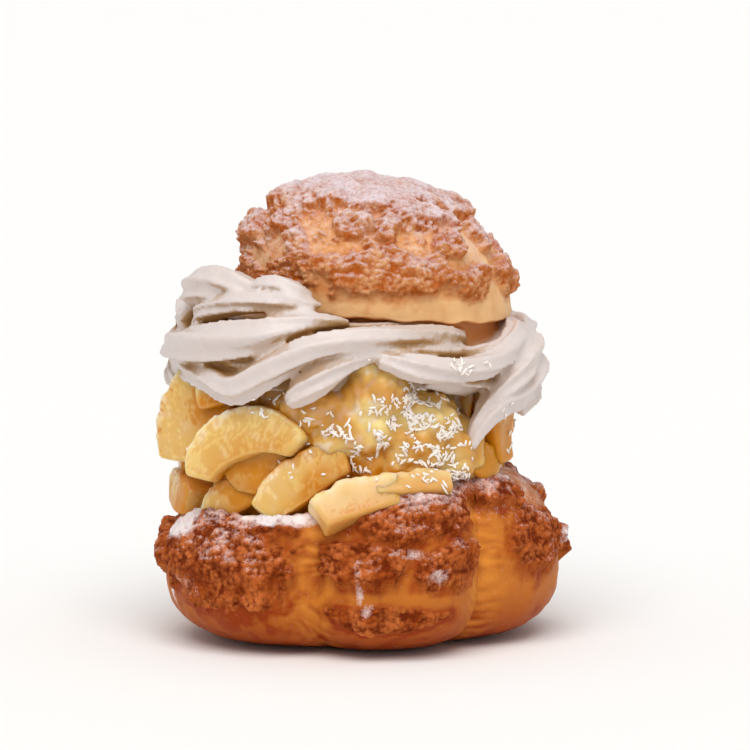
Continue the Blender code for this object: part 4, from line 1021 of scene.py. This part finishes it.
CAP_SEGMENTS = 440
CAP_RINGS = 200
CAP_CENTRE = Vector((2.3, 1.0, 59.3))
CAP_TILT = math.radians(5.0)
CAP_REACH = 24.6
CAP_RISE = 21.7
CAP_SQUARENESS = 2.45
CROWN_SHIFT = -2.2
CAP_WAVES = ((0.022, 3.0, 40.0), (0.014, 5.0, -70.0))
CAP_HOLLOW = 3.5
CAP_RIM_WALL = 2.0
CAP_RIM_STEP = 0.2
# The share of the skin that the cut face takes
CUT_FACE_TO = 0.10
CAP_PATCHES = (
    Patch(200.0, 0.05, 19.8, 17.6, 2.1),
    Patch(0.0, 0.34, 8.0, 4.5, 2.3),
    Patch(188.0, 0.40, 6.5, 3.2, 2.6),
    Patch(228.0, 0.62, 6.5, 2.2, 1.4, 32.0),
    Patch(232.0, 0.86, 7.5, 3.0, 1.4, -8.0),
    Patch(274.0, 0.78, 15.5, 4.6, 1.8, -3.0),
    Patch(258.0, 0.55, 2.8, 2.4, 1.3),
    Patch(309.0, 0.62, 3.4, 2.6, 1.6, 20.0),
    Patch(318.0, 0.82, 4.5, 3.4, 1.5, -14.0),
    Patch(345.0, 0.55, 5.5, 3.6, 1.8),
    Patch(352.0, 0.80, 6.0, 4.0, 1.7, 8.0),
    Patch(20.0, 0.70, 7.0, 4.5, 1.6, -10.0),
    Patch(48.0, 0.84, 8.0, 3.6, 1.5, 6.0),
    Patch(60.0, 0.58, 7.0, 3.4, 1.5),
    Patch(88.0, 0.76, 7.5, 5.0, 1.7, -8.0),
    Patch(116.0, 0.62, 7.0, 4.0, 1.5, 12.0),
    Patch(130.0, 0.86, 8.0, 3.4, 1.5),
    Patch(158.0, 0.74, 7.5, 4.6, 1.6, -6.0),
    Patch(184.0, 0.64, 6.0, 3.4, 2.4, 10.0),
    Patch(196.0, 0.90, 6.0, 3.0, 1.2),
)


def cap_wall(azimuth_deg, down):
    """A point of the upper half's outside in its own frame. down is 0 at the crown and 1 at the rim."""
    angle = down * math.pi / 2.0
    power = 2.0 / CAP_SQUARENESS
    wobble = 1.0
    for rise, waves, start in CAP_WAVES:
        wobble += rise * math.sin(math.radians(waves * azimuth_deg + start))
    radius = CAP_REACH * wobble * math.sin(angle) ** power
    height = CAP_RISE * max(math.cos(angle), 0.0) ** power
    return direction(azimuth_deg) * radius + Vector((CROWN_SHIFT * height / CAP_RISE, 0.0, height))


def cap_surface(azimuth_deg, t):
    """The whole skin of the upper half, from the middle of its cut face at 0 to its crown at 1."""
    if t > CUT_FACE_TO:
        return cap_wall(azimuth_deg, (1.0 - t) / (1.0 - CUT_FACE_TO))
    outward = t / CUT_FACE_TO
    outer = cap_wall(azimuth_deg, 1.0).length - CAP_RIM_WALL
    height = CAP_HOLLOW * (1.0 - outward ** 2) + CAP_RIM_STEP
    return direction(azimuth_deg) * outer * outward + Vector((0.0, 0.0, height))


cap_bm = closed_skin(CAP_SEGMENTS, CAP_RINGS, cap_surface)
cap_frames = [patch_frame(cap_wall, patch) for patch in CAP_PATCHES]
cap_values = {value: [] for value in SKIN_VALUES}
cap_moves = []
for vertex in cap_bm.verts:
    point = vertex.co
    lift, fine, cover, height, painted_edge_shade = crust_at(point, CAP_PATCHES, cap_frames)
    outside = smoothstep(0.1, 0.6, point.z) if vertex.normal.z > -0.5 else 0.0
    fine *= 1.0 - 0.65 * smoothstep(0.80, 0.97, vertex.normal.z)
    # The lower edge, where the two halves were torn apart
    torn = 0.8 * noise.noise(point / 4.0) * (1.0 - smoothstep(0.0, 2.5, point.z))
    torn *= smoothstep(18.0, 22.0, math.hypot(point.x, point.y))
    cap_moves.append(vertex.normal * (lift + fine) * outside + Vector((0.0, 0.0, torn)))
    # Browning at random, with painted orange-brown on the cut face underneath, as painted shade and light
    # through the shell, and painted shade at the foot of each plate's edge
    browning_and_shade = 0.04 + 0.25 * noise.noise(point / 6.0) + 0.7 * (1.0 - outside) + 0.55 * max(painted_edge_shade, 0.0)
    cap_values["plate"].append(cover * outside)
    cap_values["crumb"].append(height)
    cap_values["browning_and_shade"].append(browning_and_shade)
    # Sugar lies most on the crown and low down at the left, and little near the rim
    dust = 0.16 + 0.36 * smoothstep(0.25, 0.95, vertex.normal.z)
    dust += 0.34 * (1.0 - smoothstep(-16.0, -9.0, point.x)) * (1.0 - smoothstep(10.0, 16.0, point.z))
    dust += 0.30 * noise.noise(point / 5.0) + 0.50 * (height - 0.5) * cover
    dust += 0.06 * (1.0 - cover) * smoothstep(5.0, 9.0, point.z)
    # Less sugar in the painted edge shade, so that it stays dark
    dust *= smoothstep(3.0, 9.0, point.z) * mix(0.95, 1.0, cover) * (1.0 - 0.55 * max(painted_edge_shade, 0.0))
    cap_values["sugar"].append(dust * outside)
move_points(cap_bm, cap_moves)
settle_sugar(cap_bm, cap_values, 0.55)
cap_matrix = Matrix.Translation(CAP_CENTRE) @ Matrix.Rotation(CAP_TILT, 4, "Y")
cap_piece = settle("choux_cap_crust", cap_bm, cap_matrix)
cap_material = baked_choux(
    "baked_choux_golden", "#ECBC84", "#C46C24", "#B45A1C", "#DDA06E", "#BE6E34", "#E6D6DA",
)
dress(cap_piece, cap_material, "choux_cap", cap_values)


# Coconut: dried white flesh cut in short flat shreds, strewn over the fruit and caught on the cream.
# The shreds cling to the wet fruit in small clumps and lie every way.

COCONUT_SEED = 11
# The shortest, longest and most common length, and the narrowest and widest
SHRED_LENGTHS = (0.5, 2.5, 0.8)
SHRED_WIDTHS = (0.28, 0.5)
SHRED_THICKNESS = 0.24
CLUMP_SIZE = 2.2
CLUMP_EDGE = -0.05
OUT_OF_REACH = 80.0


def landing(azimuth, height, trees):
    """Where something pushed in from outside at this azimuth and height first meets the puff, in mm."""
    outward = direction(azimuth)
    start = outward * OUT_OF_REACH + Vector((0.0, 0.0, height))
    hits = [tree.ray_cast(start, -outward) for tree in trees]
    hits = [hit for hit in hits if hit[0] is not None]
    return min(hits, key=lambda hit: hit[3])[:2] if hits else (None, None)


def straight_shred():
    """The mesh of one shred, a unit long, with three joints and tapered ends."""
    bm = bmesh.new()
    bmesh.ops.create_cube(bm, size=1.0)
    sides = [edge for edge in bm.edges if abs(edge.verts[0].co.x - edge.verts[1].co.x) > 0.5]
    bmesh.ops.subdivide_edges(bm, edges=sides, cuts=2, use_grid_fill=True)
    for vertex in bm.verts:
        if abs(vertex.co.x) > 0.4:
            vertex.co.yz *= 0.5
    mesh = bpy.data.meshes.new("shred")
    bm.to_mesh(mesh)
    bm.free()
    return mesh


def lay_shred(bm, shred_mesh, place, normal, rng):
    """Adds one flat shred, a little bent, lying on the surface at a slight tilt."""
    length = rng.triangular(*SHRED_LENGTHS)
    width = rng.uniform(*SHRED_WIDTHS)
    before = len(bm.verts)
    bm.from_mesh(shred_mesh)
    bm.verts.ensure_lookup_table()
    shred = bm.verts[before:]
    bmesh.ops.scale(bm, verts=shred, vec=(length, width, SHRED_THICKNESS))
    bend = rng.uniform(-0.5, 0.5) / length
    for vertex in shred:
        vertex.co.y += bend * vertex.co.x ** 2
    lie = normal.to_track_quat("Z", "Y").to_matrix().to_4x4()
    spin = Matrix.Rotation(rng.uniform(0.0, math.pi), 4, "Z")
    tilt = Matrix.Rotation(rng.gauss(0.0, 0.35), 4, "Y")
    matrix = Matrix.Translation(place + normal * rng.uniform(-0.05, 0.25)) @ lie @ spin @ tilt
    bmesh.ops.transform(bm, verts=shred, matrix=matrix)


shred_mesh = straight_shred()
coconut_bm = bmesh.new()
coconut_rng = random.Random(COCONUT_SEED)
coconut_trees = [pile_tree, cream_tree]
# Each spread: how many shreds, the middle azimuth and height, and how far they scatter either way
for count, azimuth, height, azimuth_scatter, height_scatter in (
    (210, 284.5, 41.0, 7.5, 3.6),
    (110, 289.0, 45.0, 4.0, 2.0),
    (60, 296.0, 41.0, 3.0, 3.0),
    (230, 299.0, 37.0, 6.5, 3.6),
    (40, 277.0, 37.0, 5.0, 2.0),
    (34, 270.0, 33.6, 3.4, 0.6),
    (60, 307.0, 31.0, 2.4, 0.8),
    (30, 238.0, 45.5, 1.4, 1.2),
    (30, 254.0, 43.0, 2.4, 0.9),
    (14, 259.0, 40.2, 1.8, 0.7),
    (12, 266.0, 39.0, 1.4, 1.2),
    (26, 303.0, 52.4, 5.0, 1.0),
    (10, 248.0, 34.0, 8.0, 3.0),
    (260, 60.0, 38.0, 60.0, 6.0),
):
    for _ in range(count):
        spot = coconut_rng.gauss(azimuth, azimuth_scatter), coconut_rng.gauss(height, height_scatter)
        place, normal = landing(*spot, coconut_trees)
        clumped = place is not None and noise.noise(place / CLUMP_SIZE) > CLUMP_EDGE
        if clumped and normal.dot(direction(spot[0])) > 0.1:
            lay_shred(coconut_bm, shred_mesh, place, normal, coconut_rng)
coconut_piece = settle("coconut_shreds", coconut_bm)

# Dried coconut flesh: matt white, a little creamy in places
coconut_material, coconut_nodes, coconut_shader = new_material("dried_coconut_flesh", {"Roughness": 0.5})
coconut_place = add_node(coconut_nodes, "ShaderNodeTexCoord").outputs["Object"]
coconut_cloud = add_node(
    coconut_nodes, "ShaderNodeTexNoise", values={"Scale": 1.0 / (3.0 * MM)}, links={"Vector": coconut_place},
).outputs["Fac"]
coconut_colour = add_node(
    coconut_nodes, "ShaderNodeMix", COLOURS, {COLOUR_A: linear("#FFFAF8"), COLOUR_B: linear("#FBEEDC")},
    {FACTOR: coconut_cloud},
).outputs[MIXED]
coconut_nodes.links.new(coconut_colour, coconut_shader.inputs["Base Color"])
coconut_piece.data.materials.append(coconut_material)
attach(coconut_piece, "root")


# Studio: a broad pale floor, one broad soft light from the upper left and an even white surround.
# The camera stands at the photograph's height and looks a little down.

PIXEL = 0.182 * MM
PICTURE_SIDE = 750 * PIXEL
# The puff stands a little left of the picture's middle
OFF_CENTRE = 13 * PIXEL
CAMERA_DISTANCE = 0.9
CAMERA_PITCH = math.radians(7.0)
CAMERA_TARGET = Vector((OFF_CENTRE, 0.0, 47.0 * MM))
SENSOR = 36.0
FLOOR_RADIUS = 60000.0

camera_data = bpy.data.cameras.new("camera")
camera_data.sensor_width = SENSOR
camera_data.lens = SENSOR * CAMERA_DISTANCE / PICTURE_SIDE
camera = bpy.data.objects.new("camera", camera_data)
backward = Vector((0.0, -math.cos(CAMERA_PITCH), math.sin(CAMERA_PITCH)))
camera.location = CAMERA_TARGET + backward * CAMERA_DISTANCE
camera.rotation_euler = (-backward).to_track_quat("-Z", "Y").to_euler()
bpy.context.scene.collection.objects.link(camera)
bpy.context.scene.camera = camera

floor_bm = bmesh.new()
bmesh.ops.create_circle(floor_bm, cap_ends=True, segments=96, radius=FLOOR_RADIUS)
floor = settle("floor", floor_bm)
# Matt white paper: even and without gloss
floor_material, _, _ = new_material("matt_white_paper", {"Base Color": linear("#F4F3F1"), "Roughness": 0.9})
floor.data.materials.append(floor_material)

key_data = bpy.data.lights.new("light_key", "SUN")
key_data.energy = 2.1
key_data.angle = math.radians(50.0)
key = bpy.data.objects.new("light_key", key_data)
key.rotation_euler = Vector((0.02, 0.52, -0.85)).to_track_quat("-Z", "Y").to_euler()
bpy.context.scene.collection.objects.link(key)

world = bpy.data.worlds.new("studio")
world.use_nodes = True
world.node_tree.nodes["Background"].inputs["Color"].default_value = linear("#FFFFFF")
world.node_tree.nodes["Background"].inputs["Strength"].default_value = 0.56
bpy.context.scene.world = world
bpy.context.scene.view_settings.view_transform = "Standard"
